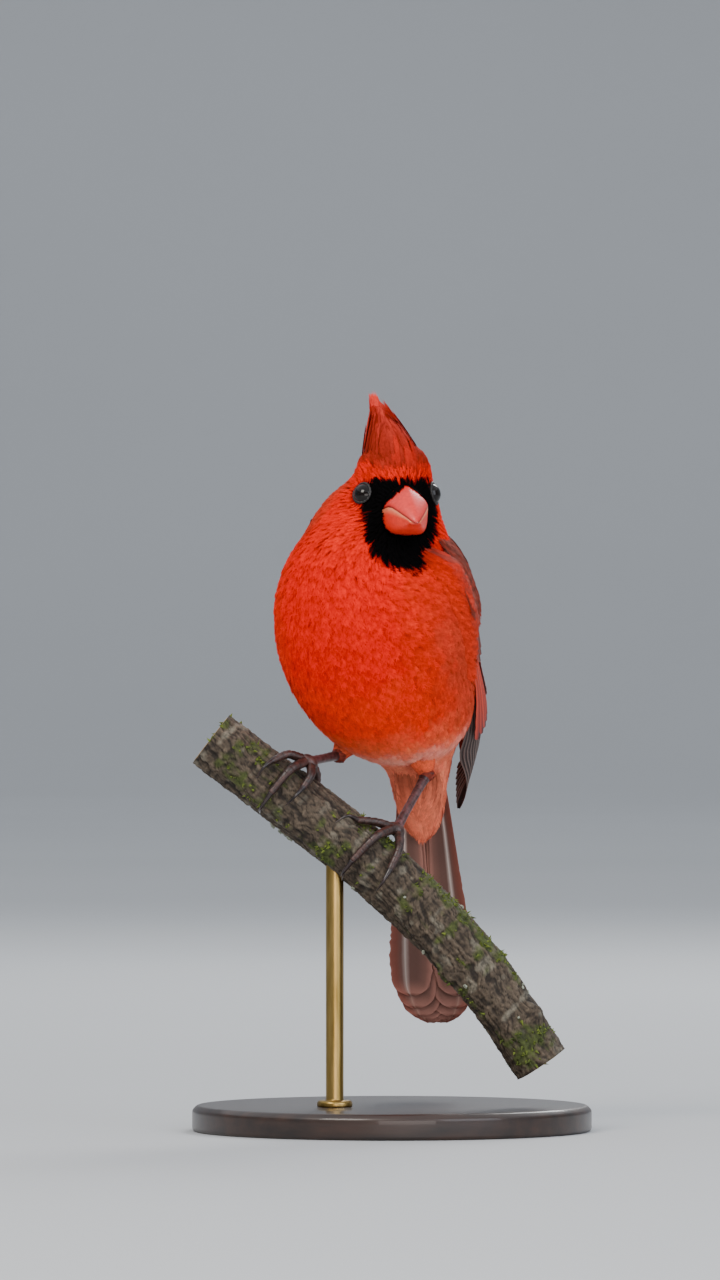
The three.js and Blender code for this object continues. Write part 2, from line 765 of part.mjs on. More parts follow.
const LEG = {
  thighStart: { left: [7, 2, 122], right: [-10, 8, 126] },
  heel: { left: [10.9, 4, 110.6], right: [-16.4, 5.4, 116.4] },
  footShare: { left: 0.43, right: 0.195 },
  padLift: 3.3,
  padHalf: [3, 2.5, 2.1],
  shankRadius: profile([[0, 2], [0.14, 1.5], [0.6, 1.3], [0.9, 1.5], [1, 1.8]]),
  shankScutes: 6,
  thighRadius: profile([[0, 6.5], [0.55, 4.6], [0.85, 2.9], [1, 2.2]]),
};
const TOE = { scuteRise: 0.25, sides: 7, tipRadius: 1.05 };
const CLAW = { sides: 5, steps: 5, radius: 0.95, tipRadius: 0.22 };
const TOES = {
  left: [
    {
      radius: 1.5,
      scutes: 4,
      path: [[1, -8, 3], [3.5, -38, 2.4], [5, -75, 1.8]],
      claw: [[5.6, -100, 2.8], [6, -128, 0.9]],
    },
    {
      radius: 1.4,
      scutes: 4,
      path: [[-1.5, 8, 3], [-6, 26, 2.7], [-11, 42, 1.6]],
      claw: [[-14.2, 54, 2.7], [-16, 72, 0.9]],
    },
    {
      radius: 1.55,
      scutes: 6,
      path: [[-1, 14, 3], [-3.5, 52, 2.5], [-4.8, 104, 1.6]],
      claw: [[-4.6, 130, 2.8], [-3.4, 158, 0.9]],
    },
    {
      radius: 1.4,
      scutes: 4,
      path: [[1.6, 15, 3], [4.1, 44, 2.5], [6, 78, 1.6]],
      claw: [[6.8, 100, 2.7], [7.2, 124, 0.9]],
    },
  ],
  right: [
    {
      radius: 1.5,
      scutes: 4,
      path: [[1.5, -8, 3], [5, -32, 2.4], [7.5, -64, 1.8]],
      claw: [[8.6, -90, 2.8], [9, -118, 0.9]],
    },
    {
      radius: 1.4,
      scutes: 4,
      path: [[1.5, 14, 3], [3, 34, 2.6], [3.4, 58, 1.6]],
      claw: [[3.2, 78, 2.7], [2.6, 100, 0.9]],
    },
    {
      radius: 1.55,
      scutes: 6,
      path: [[-1, 14, 3], [-3, 50, 2.5], [-3.4, 98, 1.6]],
      claw: [[-3, 124, 2.8], [-2.2, 150, 0.9]],
    },
    {
      radius: 1.4,
      scutes: 4,
      path: [[-2.5, 10, 3], [-6.5, 28, 2.5], [-9, 52, 1.6]],
      claw: [[-9.9, 72, 2.7], [-9.8, 94, 0.9]],
    },
  ],
};

const heel = (name) => v3(...LEG.heel[name]);
const padCentre = (name) => overBark(LEG.footShare[name], 0, LEG.padLift);

/** A saw-tooth for scutes that overlap like tiles: 1 where a plate starts, falling to 0 at its end. */
const scuteStep = (t, count) => 1 - ((t * count * 0.999) % 1);

/** The feathered end of the leg, from inside the belly to the heel, with an allowance all round. */
function thighRod(name, extra) {
  const start = v3(...LEG.thighStart[name]);
  const down = heel(name).sub(start).normalize();
  const path = new THREE.LineCurve3(start, heel(name).addScaledVector(down, extra));
  const radiusAt = (t) => LEG.thighRadius(t) + extra;
  return rod(path, { steps: 8, sides: 12, radiusAt, outwardAt: () => v3(0, -1, 0.2) });
}

const thigh = (name) => besidePlumage(thighRod(name, 0));

/** The bare leg from the heel to the foot, with a row of plates down its front. */
function shankRod(name, extra) {
  const path = new THREE.LineCurve3(heel(name), padCentre(name));
  const radiusAt = (t, angle) => {
    const plates = Math.max(0, Math.sin(angle)) * scuteStep(t, LEG.shankScutes);
    return LEG.shankRadius(t) + TOE.scuteRise * plates + extra;
  };
  const steps = 2 * LEG.shankScutes;
  return rod(path, { steps, sides: 8, radiusAt, outwardAt: () => v3(0, -0.7, 0.7) });
}

function shank(name) {
  return besidePlumage(shankRod(name, 0).subtract(thighRod(name, GAP)).subtract(pad(name, GAP)));
}

/** The pad that the toes grow from. */
function pad(name, extra = 0) {
  const share = LEG.footShare[name];
  const along = perchLine.getTangentAt(share);
  const frame = {
    turn: (a, l, u) => {
      const out = perchOutward(share, 0);
      return along.clone().multiplyScalar(a).addScaledVector(TOWARDS_VIEWER, l).addScaledVector(out, u);
    },
    at: () => padCentre(name),
  };
  return ellipsoid(frame, [0, 0, 0], LEG.padHalf.map((half) => half + extra), 12, 8);
}

function toePath(name, points) {
  const share = (along) => LEG.footShare[name] + along / perchLength;
  const places = points.map(([along, angle, lift]) => overBark(share(along), angle, lift));
  return new THREE.CatmullRomCurve3(places);
}

/** Away from the branch's middle line, square to it, at a point. */
function awayFromPerch(name, point) {
  const middle = perchLine.getPointAt(LEG.footShare[name]);
  const along = perchLine.getTangentAt(LEG.footShare[name]);
  const out = point.clone().sub(middle);
  return out.addScaledVector(along, -out.dot(along)).normalize();
}

function toe(name, { radius, scutes, path }, extra = 0) {
  const curve = toePath(name, path);
  const radiusAt = (t, angle) => {
    const plates = Math.max(0, Math.sin(angle)) * scuteStep(t, scutes);
    return lerp(radius, TOE.tipRadius, t) + TOE.scuteRise * plates + extra;
  };
  const outwardAt = (t) => awayFromPerch(name, curve.getPointAt(t));
  return rod(curve, { steps: 2 * scutes, sides: TOE.sides, radiusAt, outwardAt });
}

/** A claw hooks on from the end of its toe. */
function clawRod(name, { path, claw: hook }) {
  const curve = toePath(name, [path.at(-1), ...hook]);
  const radiusAt = (t) => lerp(CLAW.radius, CLAW.tipRadius, t ** 0.8);
  const outwardAt = (t) => awayFromPerch(name, curve.getPointAt(t));
  return rod(curve, { steps: CLAW.steps, sides: CLAW.sides, radiusAt, outwardAt });
}

/** A foot's toes and claws in order, each cut clear of the leg, the pad and what comes before it. */
function toesAndClaws(name) {
  let clearance = pad(name, GAP).add(shankRod(name, GAP));
  const toes = TOES[name].map((shape) => {
    const whole = besidePerch(toe(name, shape).subtract(clearance));
    clearance = clearance.add(toe(name, shape, GAP));
    return whole;
  });
  const claws = TOES[name].map((shape) => besidePerch(clawRod(name, shape).subtract(clearance)));
  return { toes, claws };
}

// The stand

function standBase() {
  const { radius, height, edge, segments } = BASE;
  const outline = [
    [0, 0],
    [radius - edge / 2, 0],
    [radius, edge / 2],
    [radius, height - edge],
    [radius - edge, height],
    [0, height],
  ];
  const turned = new THREE.LatheGeometry(outline.map(([r, z]) => new THREE.Vector2(r, z)), segments);
  return solidOf(turned.rotateX(Math.PI / 2));
}

function standRod() {
  const { radius, collarRadius, collarHeight, collarEdge, top, segments } = ROD;
  const bottom = BASE.height + GAP;
  const outline = [
    [0, bottom],
    [collarRadius, bottom],
    [collarRadius, bottom + collarHeight - collarEdge],
    [collarRadius - collarEdge, bottom + collarHeight],
    [radius, bottom + collarHeight],
    [radius, top],
    [0, top],
  ];
  const turned = new THREE.LatheGeometry(outline.map(([r, z]) => new THREE.Vector2(r, z)), segments);
  const standing = solidOf(turned.rotateX(Math.PI / 2).translate(ROD.x, PERCH.depth, 0));
  const pieces = standing.subtract(perchCutter).decompose();
  return pieces.sort((one, other) => one.boundingBox().min[2] - other.boundingBox().min[2])[0];
}

// Every piece with its colour, roughness and metalness

const FINISHES = {
  red: [0xc8230c, 0.75, 0],
  crestRed: [0xa82414, 0.75, 0],
  wingBrown: [0x8a3a30, 0.7, 0],
  tailBrown: [0x6e3634, 0.7, 0],
  coral: [0xe4583c, 0.4, 0],
  eyeDark: [0x140c0a, 0.1, 0],
  legBrown: [0x4a2a28, 0.6, 0],
  clawDark: [0x1c1514, 0.4, 0],
  bark: [0x4a4030, 0.9, 0],
  wood: [0x2c2420, 0.5, 0],
  brass: [0xa08a58, 0.35, 1],
};

const cardinal = new THREE.Group();

function piece(name, solid, finish) {
  const [color, roughness, metalness] = FINISHES[finish];
  const material = new THREE.MeshStandardMaterial({ color, roughness, metalness });
  const mesh = new THREE.Mesh(geometryOf(solid), material);
  mesh.name = name;
  cardinal.add(mesh);
}

const [rump, torso, neck, headPiece] = partedPlumage();
piece("head", headWithCrest(headPiece), "crestRed");
piece("neck", neck, "red");
piece("torso", torso, "red");
piece("rump", largest(rump.subtract(tailSlot())), "red");
piece("tail", tailFeathers(), "tailBrown");
piece("bill_upper", upperBill(), "coral");
piece("bill_lower", lowerBill(), "coral");
for (const name of ["left", "right"]) {
  piece(`wing_${name}`, wing(name), "wingBrown");
  piece(`eye_${name}`, eyeball(name), "eyeDark");
  piece(`thigh_${name}`, thigh(name), "red");
  piece(`shank_${name}`, shank(name), "legBrown");
  piece(`foot_${name}`, besidePerch(pad(name)), "legBrown");
  const { toes, claws } = toesAndClaws(name);
  toes.forEach((solid, index) => piece(`toe_${name}_${index + 1}`, solid, "legBrown"));
  claws.forEach((solid, index) => piece(`claw_${name}_${index + 1}`, solid, "clawDark"));
}
piece("perch", perch(), "bark");
piece("stand_rod", standRod(), "brass");
piece("stand_base", standBase(), "wood");

export default cardinal;
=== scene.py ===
"""A male northern cardinal at life size, as a still model on a cut branch with a display stand.

Shapes are worked out in millimetres and made into meshes in metres. +Z is up, the breast faces -Y,
and the bird's left is towards +X. The origin is the middle of the stand's underside.
"""

import logging
import math
from collections.abc import Callable, Sequence
from dataclasses import dataclass, replace
from enum import Enum
from functools import cached_property

import bpy
import numpy as np
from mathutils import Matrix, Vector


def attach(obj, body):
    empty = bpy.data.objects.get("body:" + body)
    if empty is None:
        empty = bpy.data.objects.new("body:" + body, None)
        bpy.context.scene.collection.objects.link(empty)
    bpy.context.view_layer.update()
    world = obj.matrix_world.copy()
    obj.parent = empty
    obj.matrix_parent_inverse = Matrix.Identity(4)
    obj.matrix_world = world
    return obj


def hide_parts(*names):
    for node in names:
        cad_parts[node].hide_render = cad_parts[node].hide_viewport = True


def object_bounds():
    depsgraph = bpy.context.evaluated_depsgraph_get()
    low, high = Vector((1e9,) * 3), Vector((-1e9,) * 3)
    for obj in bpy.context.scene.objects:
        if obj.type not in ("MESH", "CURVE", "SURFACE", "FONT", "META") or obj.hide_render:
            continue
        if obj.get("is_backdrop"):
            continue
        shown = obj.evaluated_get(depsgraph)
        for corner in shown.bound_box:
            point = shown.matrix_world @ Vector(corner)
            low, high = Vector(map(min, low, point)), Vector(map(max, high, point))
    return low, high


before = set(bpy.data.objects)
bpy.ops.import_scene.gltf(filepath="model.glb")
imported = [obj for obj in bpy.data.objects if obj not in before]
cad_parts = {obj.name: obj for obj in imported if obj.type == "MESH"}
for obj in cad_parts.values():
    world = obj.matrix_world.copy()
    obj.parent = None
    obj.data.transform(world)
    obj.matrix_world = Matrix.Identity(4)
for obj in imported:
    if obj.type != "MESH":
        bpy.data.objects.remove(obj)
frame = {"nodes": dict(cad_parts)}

MM = 0.001
CAD_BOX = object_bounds()
SEED = 20260
CELL_MARGIN = 0.04
SUBSURFACE = {"Subsurface_Scale": 0.0015, "Subsurface_Radius": (1.0, 0.35, 0.25)}
STATIONS = 5
ALONG = np.linspace(0, 1, STATIONS)[None]

log = logging.getLogger("cardinal")
Array = np.ndarray
Random = np.random.Generator
Pair = tuple[float, float]
Triple = tuple[float, float, float]
Socket = bpy.types.NodeSocket


# Small maths


def unit(vectors: Array) -> Array:
    """Vectors scaled to length one."""
    return vectors / np.maximum(np.linalg.norm(vectors, axis=-1, keepdims=True), 1e-9)


def square_to(vectors: Array, other: Array) -> Array:
    """Vectors without their share along others of length one, scaled to length one."""
    return unit(vectors - other * (vectors * other).sum(-1, keepdims=True))


def ease(x: Array, low: float, high: float) -> Array:
    """A smooth step from 0 at low to 1 at high."""
    t = np.clip((np.asarray(x, float) - low) / (high - low), 0.0, 1.0)
    return t * t * (3.0 - 2.0 * t)


def blend(first: Array, second: Array, weight: Array) -> Array:
    """A mix of two colours or vectors, by one weight for each row."""
    weight = np.asarray(weight, float)[..., None]
    return first * (1.0 - weight) + second * weight


def tone(code: str) -> Array:
    """A colour from its six-digit screen code, as linear red, green and blue."""
    value = np.array([int(code[i : i + 2], 16) for i in (0, 2, 4)]) / 255.0
    return np.where(value <= 0.04045, value / 12.92, ((value + 0.055) / 1.055) ** 2.4)


def painted(base: Array | str, *coats: tuple[Array | str, Array]) -> Array:
    """A colour with others laid over it, each with its weight at every point."""
    colour = tone(base) if isinstance(base, str) else base
    for over, weight in coats:
        colour = blend(colour, tone(over) if isinstance(over, str) else over, weight)
    return colour


def crossed(first: Array, second: Array) -> list[Array]:
    """Two rows of values as grids, the first down the rows and the second along them."""
    return np.meshgrid(first, second, indexing="ij")


def circle(count: int) -> Array:
    """Angles evenly round a circle."""
    return np.linspace(0, 2 * math.pi, count, endpoint=False)


def draws(which: int) -> Random:
    """A run of random numbers that is the same each time."""
    return np.random.default_rng(SEED + which)


def ripple(points: Array, scale: float, seed: int) -> Array:
    """Smooth irregular waves through space, about -1 to 1.

    Args:
        points: Places, one row each, in millimetres.
        scale: The rough length of a wave, in millimetres.
        seed: Which waves.

    Returns:
        One value for each point.
    """
    rng = np.random.default_rng(seed)
    total = np.zeros(points.shape[:-1])
    for octave in range(5):
        direction = unit(rng.normal(size=3)) * (2.0 * math.pi / scale) * (1.0 + 0.35 * octave)
        total += np.sin(points @ direction + rng.uniform(0, 6.283) + 1.3 * np.sin(points @ direction[::-1]))
    return total / 3.2


class Profile:
    """A smooth function through (place, value) stations, flat beyond its ends."""

    def __init__(self, *stations: Pair) -> None:
        """Keeps the stations and the slope at each."""
        self.x, self.y = np.array(stations, float).T
        inner = (self.y[2:] - self.y[:-2]) / (self.x[2:] - self.x[:-2])
        self.slope = np.concatenate([[0.0], inner, [0.0]])

    def __call__(self, place: Array) -> Array:
        """The value at each place."""
        x = np.clip(np.asarray(place, float), self.x[0], self.x[-1])
        i = np.clip(np.searchsorted(self.x, x, side="left") - 1, 0, len(self.x) - 2)
        width, rise = self.x[i + 1] - self.x[i], self.y[i + 1] - self.y[i]
        t = (x - self.x[i]) / width
        bend = (1 - t) * self.slope[i] - t * self.slope[i + 1]
        return self.y[i] + rise * t + t * (1 - t) * width * (bend - rise / width * (1 - 2 * t))


@dataclass(frozen=True)
class Frame:
    """Axes at a point: ahead by a heading from -Y towards +X and a rise above level, left and up."""

    origin: Triple
    heading: float
    rise: float

    @cached_property
    def axes(self) -> Array:
        """The rows are the directions ahead, left and up."""
        heading, rise = math.radians(self.heading), math.radians(self.rise)
        level = math.cos(rise)
        ahead = np.array([math.sin(heading) * level, -math.cos(heading) * level, math.sin(rise)])
        left = np.array([math.cos(heading), math.sin(heading), 0.0])
        return np.stack([ahead, left, np.cross(ahead, left)])

    def turn(self, local: Sequence[float] | Array) -> Array:
        """A direction given ahead, left and up, in the model's axes."""
        return np.asarray(local, float) @ self.axes

    def at(self, local: Sequence[float] | Array) -> Array:
        """A place given ahead, left and up, in the model's axes."""
        return self.turn(local) + np.array(self.origin)

    def local(self, points: Array) -> Array:
        """Places of the model as ahead, left and up."""
        return (points - np.array(self.origin)) @ self.axes.T


class Curve:
    """A smooth curve through points, read by the share of its length."""

    FINE = 60
    REACH = 0.004

    def __init__(self, points: Sequence[Array]) -> None:
        """Samples the curve through the points."""
        p = np.array(points, float)
        p = np.vstack([2 * p[0] - p[1], p, 2 * p[-1] - p[-2]])
        t = np.linspace(0, 1, self.FINE, endpoint=False)[:, None]
        runs = []
        for i in range(1, len(p) - 2):
            a, b, c, d = p[i - 1 : i + 3]
            one, two, three = (math.sqrt(max(np.linalg.norm(q), 1e-8)) for q in (b - a, c - b, d - c))
            out = ((b - a) / one - (c - a) / (one + two) + (c - b) / two) * two
            into = ((c - b) / two - (d - b) / (two + three) + (d - c) / three) * two
            runs.append(b + out * t + (3 * c - 3 * b - 2 * out - into) * t**2 + (2 * b - 2 * c + out + into) * t**3)
        self.samples = np.vstack([*runs, p[-2][None]])
        steps = np.linalg.norm(np.diff(self.samples, axis=0), axis=1)
        self.length = float(steps.sum())
        self.shares = np.concatenate([[0.0], np.cumsum(steps)]) / self.length

    def at(self, share: Array) -> Array:
        """The place at each share of the length."""
        share = np.asarray(share, float)
        return np.stack([np.interp(share, self.shares, self.samples[:, k]) for k in range(3)], axis=-1)

    def tangent(self, share: Array) -> Array:
        """The direction at each share of the length."""
        share = np.clip(np.asarray(share, float), self.REACH, 1 - self.REACH)
        return unit(self.at(share + self.REACH) - self.at(share - self.REACH))


# Meshes


@dataclass
class Form:
    """A mesh being built: points in millimetres, triangles, and what belongs to each point."""

    points: Array
    faces: Array
    tone: Array | None = None
    vane: Array | None = None
    bake: Array | None = None

    @staticmethod
    def joined(forms: Sequence["Form"]) -> "Form":
        """Several forms as one mesh."""
        starts = np.cumsum([0] + [len(form.points) for form in forms[:-1]])
        whole = Form(
            np.concatenate([form.points for form in forms]),
            np.concatenate([form.faces + start for form, start in zip(forms, starts)]),
        )
        for name in ("tone", "vane", "bake"):
            if getattr(forms[0], name) is not None:
                setattr(whole, name, np.concatenate([getattr(form, name) for form in forms]))
        return whole

    @staticmethod
    def celled(forms: Sequence["Form"], columns: int, rows: int) -> "Form":
        """Vanes as one mesh, each with a cell of its own on the unwrap."""
        for k, form in enumerate(forms):
            local = (form.vane - form.vane.min(0)) / np.maximum(np.ptp(form.vane, axis=0), 1e-6)
            inset = CELL_MARGIN + (1 - 2 * CELL_MARGIN) * local
            form.bake = (np.array([k % columns, k // columns]) + inset) / np.array([columns, rows])
        return Form.joined(forms)

    def facing_out(self) -> "Form":
        """The same closed form with its triangles turned outwards."""
        a, b, c = (self.points[self.faces[:, k]] for k in range(3))
        if np.einsum("ij,ij->i", a, np.cross(b, c)).sum() < 0:
            self.faces = self.faces[:, ::-1]
        return self

    def under_feathers(self, colour: Array) -> "Form":
        """The same form in one tone, for what feathers hide."""
        self.tone = np.broadcast_to(colour, self.points.shape)
        self.vane = self.bake = np.full((len(self.points), 2), 0.5)
        return self


def build(name: str, form: Form, finish: "Finish", replaces: Sequence[str] = ()) -> bpy.types.Object:
    """Makes a finished piece that rides on the model.

    Args:
        name: The piece's name.
        form: Its mesh.
        finish: Its finish.
        replaces: Solids that it stands for.

    Returns:
        The new object.
    """
    mesh = bpy.data.meshes.new(name)
    count = len(form.faces)
    mesh.vertices.add(len(form.points))
    mesh.vertices.foreach_set("co", (form.points * MM).astype(np.float32).ravel())
    mesh.loops.add(count * 3)
    mesh.loops.foreach_set("vertex_index", form.faces.astype(np.int32).ravel())
    mesh.polygons.add(count)
    mesh.polygons.foreach_set("loop_start", np.arange(0, count * 3, 3, dtype=np.int32))
    mesh.polygons.foreach_set("use_smooth", np.ones(count, bool))
    for layer, values in (("OFBake", form.bake), ("Vane", form.vane)):
        if values is None:
            continue
        corners = values[form.faces].astype(np.float32)
        if layer == "OFBake":
            wrapped = np.ptp(corners[:, :, 0], axis=1) > 0.5
            corners[:, :, 0] += wrapped[:, None] & (corners[:, :, 0] < 0.5)
        mesh.uv_layers.new(name=layer).data.foreach_set("uv", corners.ravel())
    if form.tone is not None:
        colours = np.ones((len(form.points), 4), np.float32)
        colours[:, :3] = form.tone
        mesh.attributes.new("Tone", "FLOAT_COLOR", "POINT").data.foreach_set("color", colours.ravel())
    mesh.update(calc_edges=True)
    mesh.validate()
    mesh.materials.append(finish.made())
    return mount(placed(name, mesh), replaces)


def placed(name: str, data: bpy.types.ID) -> bpy.types.Object:
    """A new object of the scene, at the origin."""
    new = bpy.data.objects.new(name, data)
    bpy.context.scene.collection.objects.link(new)
    return new


def mount(piece: bpy.types.Object, replaces: Sequence[str] = ()) -> bpy.types.Object:
    """Fixes a piece to the model and what it stands for, and logs it."""
    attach(piece, "root")
    if replaces:
        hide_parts(*replaces)
    triangles = sum(len(polygon.vertices) - 2 for polygon in piece.data.polygons)
    log.info("%s: %d triangles", piece.name, triangles)
    return piece


def quads(a: Array, b: Array, c: Array, d: Array) -> Array:
    """Two triangles for each quad."""
    return np.concatenate([np.stack(three, -1).reshape(-1, 3) for three in ((a, b, c), (a, c, d))])


def loft(rings: Array, poles: tuple[Array, Array] | None = None) -> Form:
    """A closed surface through rings of points.

    Args:
        rings: Rings by points by three.
        poles: The end points, or none for the middle of each end ring.

    Returns:
        The form, facing out.
    """
    count, sides = rings.shape[:2]
    ends = poles or (rings[0].mean(0), rings[-1].mean(0))
    i, j = crossed(np.arange(count - 1), np.arange(sides))
    a, b = i * sides + j, i * sides + (j + 1) % sides
    k = np.arange(sides)
    after, start, last = (k + 1) % sides, np.full(sides, count * sides), (count - 1) * sides
    caps = [np.stack([start, after, k], -1), np.stack([start + 1, last + k, last + after], -1)]
    faces = np.concatenate([quads(a, b, b + sides, a + sides), *caps])
    return Form(np.vstack([rings.reshape(-1, 3), *ends]), faces).facing_out()


def plate(upper: Array, lower: Array) -> Form:
    """A thin closed plate from its upper and lower faces, each rows by columns by three."""
    over = np.arange(upper.shape[0] * upper.shape[1]).reshape(upper.shape[:2])
    under = over + over.size
    faces = [
        quads(over[:-1, :-1], over[:-1, 1:], over[1:, 1:], over[1:, :-1]),
        quads(under[:-1, :-1], under[1:, :-1], under[1:, 1:], under[:-1, 1:]),
        quads(over[:-1, 0], over[1:, 0], under[1:, 0], under[:-1, 0]),
        quads(over[:-1, -1], under[:-1, -1], under[1:, -1], over[1:, -1]),
        quads(over[0, :-1], under[0, :-1], under[0, 1:], over[0, 1:]),
        quads(over[-1, :-1], over[-1, 1:], under[-1, 1:], under[-1, :-1]),
    ]
    return Form(np.vstack([upper.reshape(-1, 3), lower.reshape(-1, 3)]), np.concatenate(faces)).facing_out()


def ball(centre: Array, axes: Array, rows: int, sides: int) -> Form:
    """A closed ball in rings.

    Args:
        centre: Its middle.
        axes: Its three half-axes, the last one through the poles.
        rows: Rings, the two poles among them.
        sides: Points round it.

    Returns:
        The form, facing out.
    """
    tilt, turn = crossed(np.linspace(0, math.pi, rows)[1:-1], circle(sides))
    place = np.stack([np.sin(tilt) * np.cos(turn), np.sin(tilt) * np.sin(turn), np.cos(tilt)], -1)
    return loft(centre + place @ axes, (centre + axes[2], centre - axes[2]))


def tube(
    curve: Curve,
    steps: int,
    sides: int,
    radius: Callable[[Array, Array], Array],
    outward: Callable[[Array], Array],
    closing: float = 1.0,
) -> Form:
    """A round rod along a curve.

    Args:
        curve: Its middle line.
        steps: Lengths along it.
        sides: Points round it.
        radius: The radius from the share along and the angle round, 90 degrees being outward.
        outward: The outward direction from the share along.
        closing: How round the far end is, 0 for flat.

    Returns:
        The closed form.
    """
    share, angle = np.linspace(0, 1, steps + 1), circle(sides)
    centre, along = curve.at(share), curve.tangent(share)
    side = unit(np.cross(along, outward(share)))
    out = np.cross(side, along)
    size = radius(*crossed(share, angle))[..., None]
    around = side[:, None] * np.cos(angle)[:, None] + out[:, None] * np.sin(angle)[:, None]
    tips = (centre[0], centre[-1] + along[-1] * size[-1].mean() * closing)
    return loft(centre[:, None] + around * size, tips)


# Finishes


class Graph:
    """A node tree with a short way to add to it."""

    def __init__(self, tree: bpy.types.NodeTree) -> None:
        """Keeps the tree."""
        self.tree = tree

    def put(self, target: Socket, value: object) -> None:
        """Sends a plain value or another socket to a socket."""
        if isinstance(value, Socket):
            self.tree.links.new(value, target)
        else:
            target.default_value = value

    def add(self, kind: str, inputs: dict[str | int, object] | None = None, **settings: object) -> bpy.types.Node:
        """Adds a node.

        Args:
            kind: Its type.
            inputs: What goes into its sockets, by name or number.
            settings: Its properties.

        Returns:
            The new node.
        """
        node = self.tree.nodes.new(kind)
        for key, value in settings.items():
            setattr(node, key, value)
        for key, value in (inputs or {}).items():
            self.put(node.inputs[key], value)
        return node


class Surface(Graph):
    """A material's shader and what its finishes share."""

    COLOUR_A, COLOUR_B, COLOUR_OUT = 6, 7, 2

    def __init__(self, name: str) -> None:
        """Starts a material with one principled shader."""
        self.material = bpy.data.materials.new(name)
        self.material.use_nodes = True
        super().__init__(self.material.node_tree)
        self.shader = self.tree.nodes["Principled BSDF"]

    def carried(self) -> Socket:
        """The tone that the mesh carries."""
        return self.add("ShaderNodeAttribute", attribute_name="Tone").outputs["Color"]

    def vane(self) -> bpy.types.Node:
        """A node that gives the place on a feather, across and along it."""
        place = self.add("ShaderNodeUVMap", uv_map="Vane").outputs["UV"]
        return self.add("ShaderNodeSeparateXYZ", {"Vector": place})

    def place(self, scale: Triple = (1.0, 1.0, 1.0)) -> Socket:
        """Object coordinates stretched by a scale."""
        source = self.add("ShaderNodeTexCoord").outputs["Object"]
        return self.add("ShaderNodeMapping", {"Scale": scale, "Vector": source}).outputs["Vector"]

    def noise(self, place: Socket, scale: float, detail: float) -> Socket:
        """A noise value at a place."""
        inputs = {"Scale": scale, "Detail": detail, "Vector": place}
        return self.add("ShaderNodeTexNoise", inputs).outputs["Fac"]

    def steps(self, value: Socket, *stops: tuple[float, Array | float]) -> Socket:
        """A value as a run of colours, each stop a place and a colour or a grey."""
        node = self.add("ShaderNodeValToRGB", {"Fac": value})
        ramp = node.color_ramp
        while len(ramp.elements) < len(stops):
            ramp.elements.new(1.0)
        for element, (place, colour) in zip(ramp.elements, stops):
            element.position = place
            element.color = (*np.broadcast_to(np.asarray(colour, float), 3).tolist(), 1.0)
        return node.outputs["Color"]

    def times(self, first: Socket, second: Socket) -> Socket:
        """One colour multiplied by another."""
        inputs = {"Factor": 1.0, self.COLOUR_A: first, self.COLOUR_B: second}
        return self.add("ShaderNodeMix", inputs, data_type="RGBA", blend_type="MULTIPLY").outputs[self.COLOUR_OUT]

    def finish(self, colour: Socket, relief: tuple[Socket, float, float], **values: object) -> bpy.types.Material:
        """Completes the material.

        Args:
            colour: The surface's colour.
            relief: A height, how strongly it counts, and over what distance in metres.
            values: Constant values of the shader, named with underscores.

        Returns:
            The material.
        """
        inputs = dict(zip(("Height", "Strength", "Distance"), relief))
        values |= {"Base_Color": colour, "Normal": self.add("ShaderNodeBump", inputs).outputs["Normal"]}
        for key, value in values.items():
            self.put(self.shader.inputs[key.replace("_", " ")], value)
        return self.material


@dataclass(frozen=True)
class Finish:
    """A named finish."""

    name: str

    def made(self) -> bpy.types.Material:
        """Its material, made when a piece first asks for it."""
        return bpy.data.materials.get(self.name) or self.material(Surface(self.name))

    def material(self, n: Surface) -> bpy.types.Material:
        """Each kind of finish builds its own."""
        raise NotImplementedError


@dataclass(frozen=True)
class FeatherFinish(Finish):
    """Feathers and the skin under them, coloured by the markings that the mesh carries."""

    root_shade: float = 0.55
    barb_contrast: float = 0.14

    def material(self, n: Surface) -> bpy.types.Material:
        """A tone for each feather, darker at its root, with fine barbs along it."""
        root = n.steps(n.vane().outputs["Y"], (0.1, self.root_shade), (0.62, 0.92), (0.96, 1.08))
        grain = n.noise(n.place(), 900.0, 2.0)
        streak = n.steps(grain, (0.32, 1.0 - self.barb_contrast), (0.68, 1.0 + 0.4 * self.barb_contrast))
        colour = n.times(n.times(n.carried(), root), streak)
        return n.finish(colour, (grain, 0.15, 0.0002), Roughness=0.8, Specular_IOR_Level=0.04)


@dataclass(frozen=True)
class VaneFinish(Finish):
    """Wing and tail feathers: barbs slant from the shaft to both edges."""

    barbs: float = 4.5
    slant: float = -1.1

    def material(self, n: Surface) -> bpy.types.Material:
        """The carried tones with fine slanting barbs, in millimetres of the vane's own map."""
        place = n.vane().outputs
        across = n.add("ShaderNodeMath", {0: place["X"]}, operation="ABSOLUTE").outputs[0]
        line = n.add("ShaderNodeMath", {0: across, 1: self.slant, 2: place["Y"]}, operation="MULTIPLY_ADD")
        barb = n.noise(n.add("ShaderNodeCombineXYZ", {"X": line.outputs[0]}).outputs[0], self.barbs, 4.0)
        colour = n.times(n.carried(), n.steps(barb, (0.3, 0.8), (0.7, 1.12)))
        return n.finish(colour, (barb, 0.35, 0.00015), Roughness=0.55, Specular_IOR_Level=0.2)


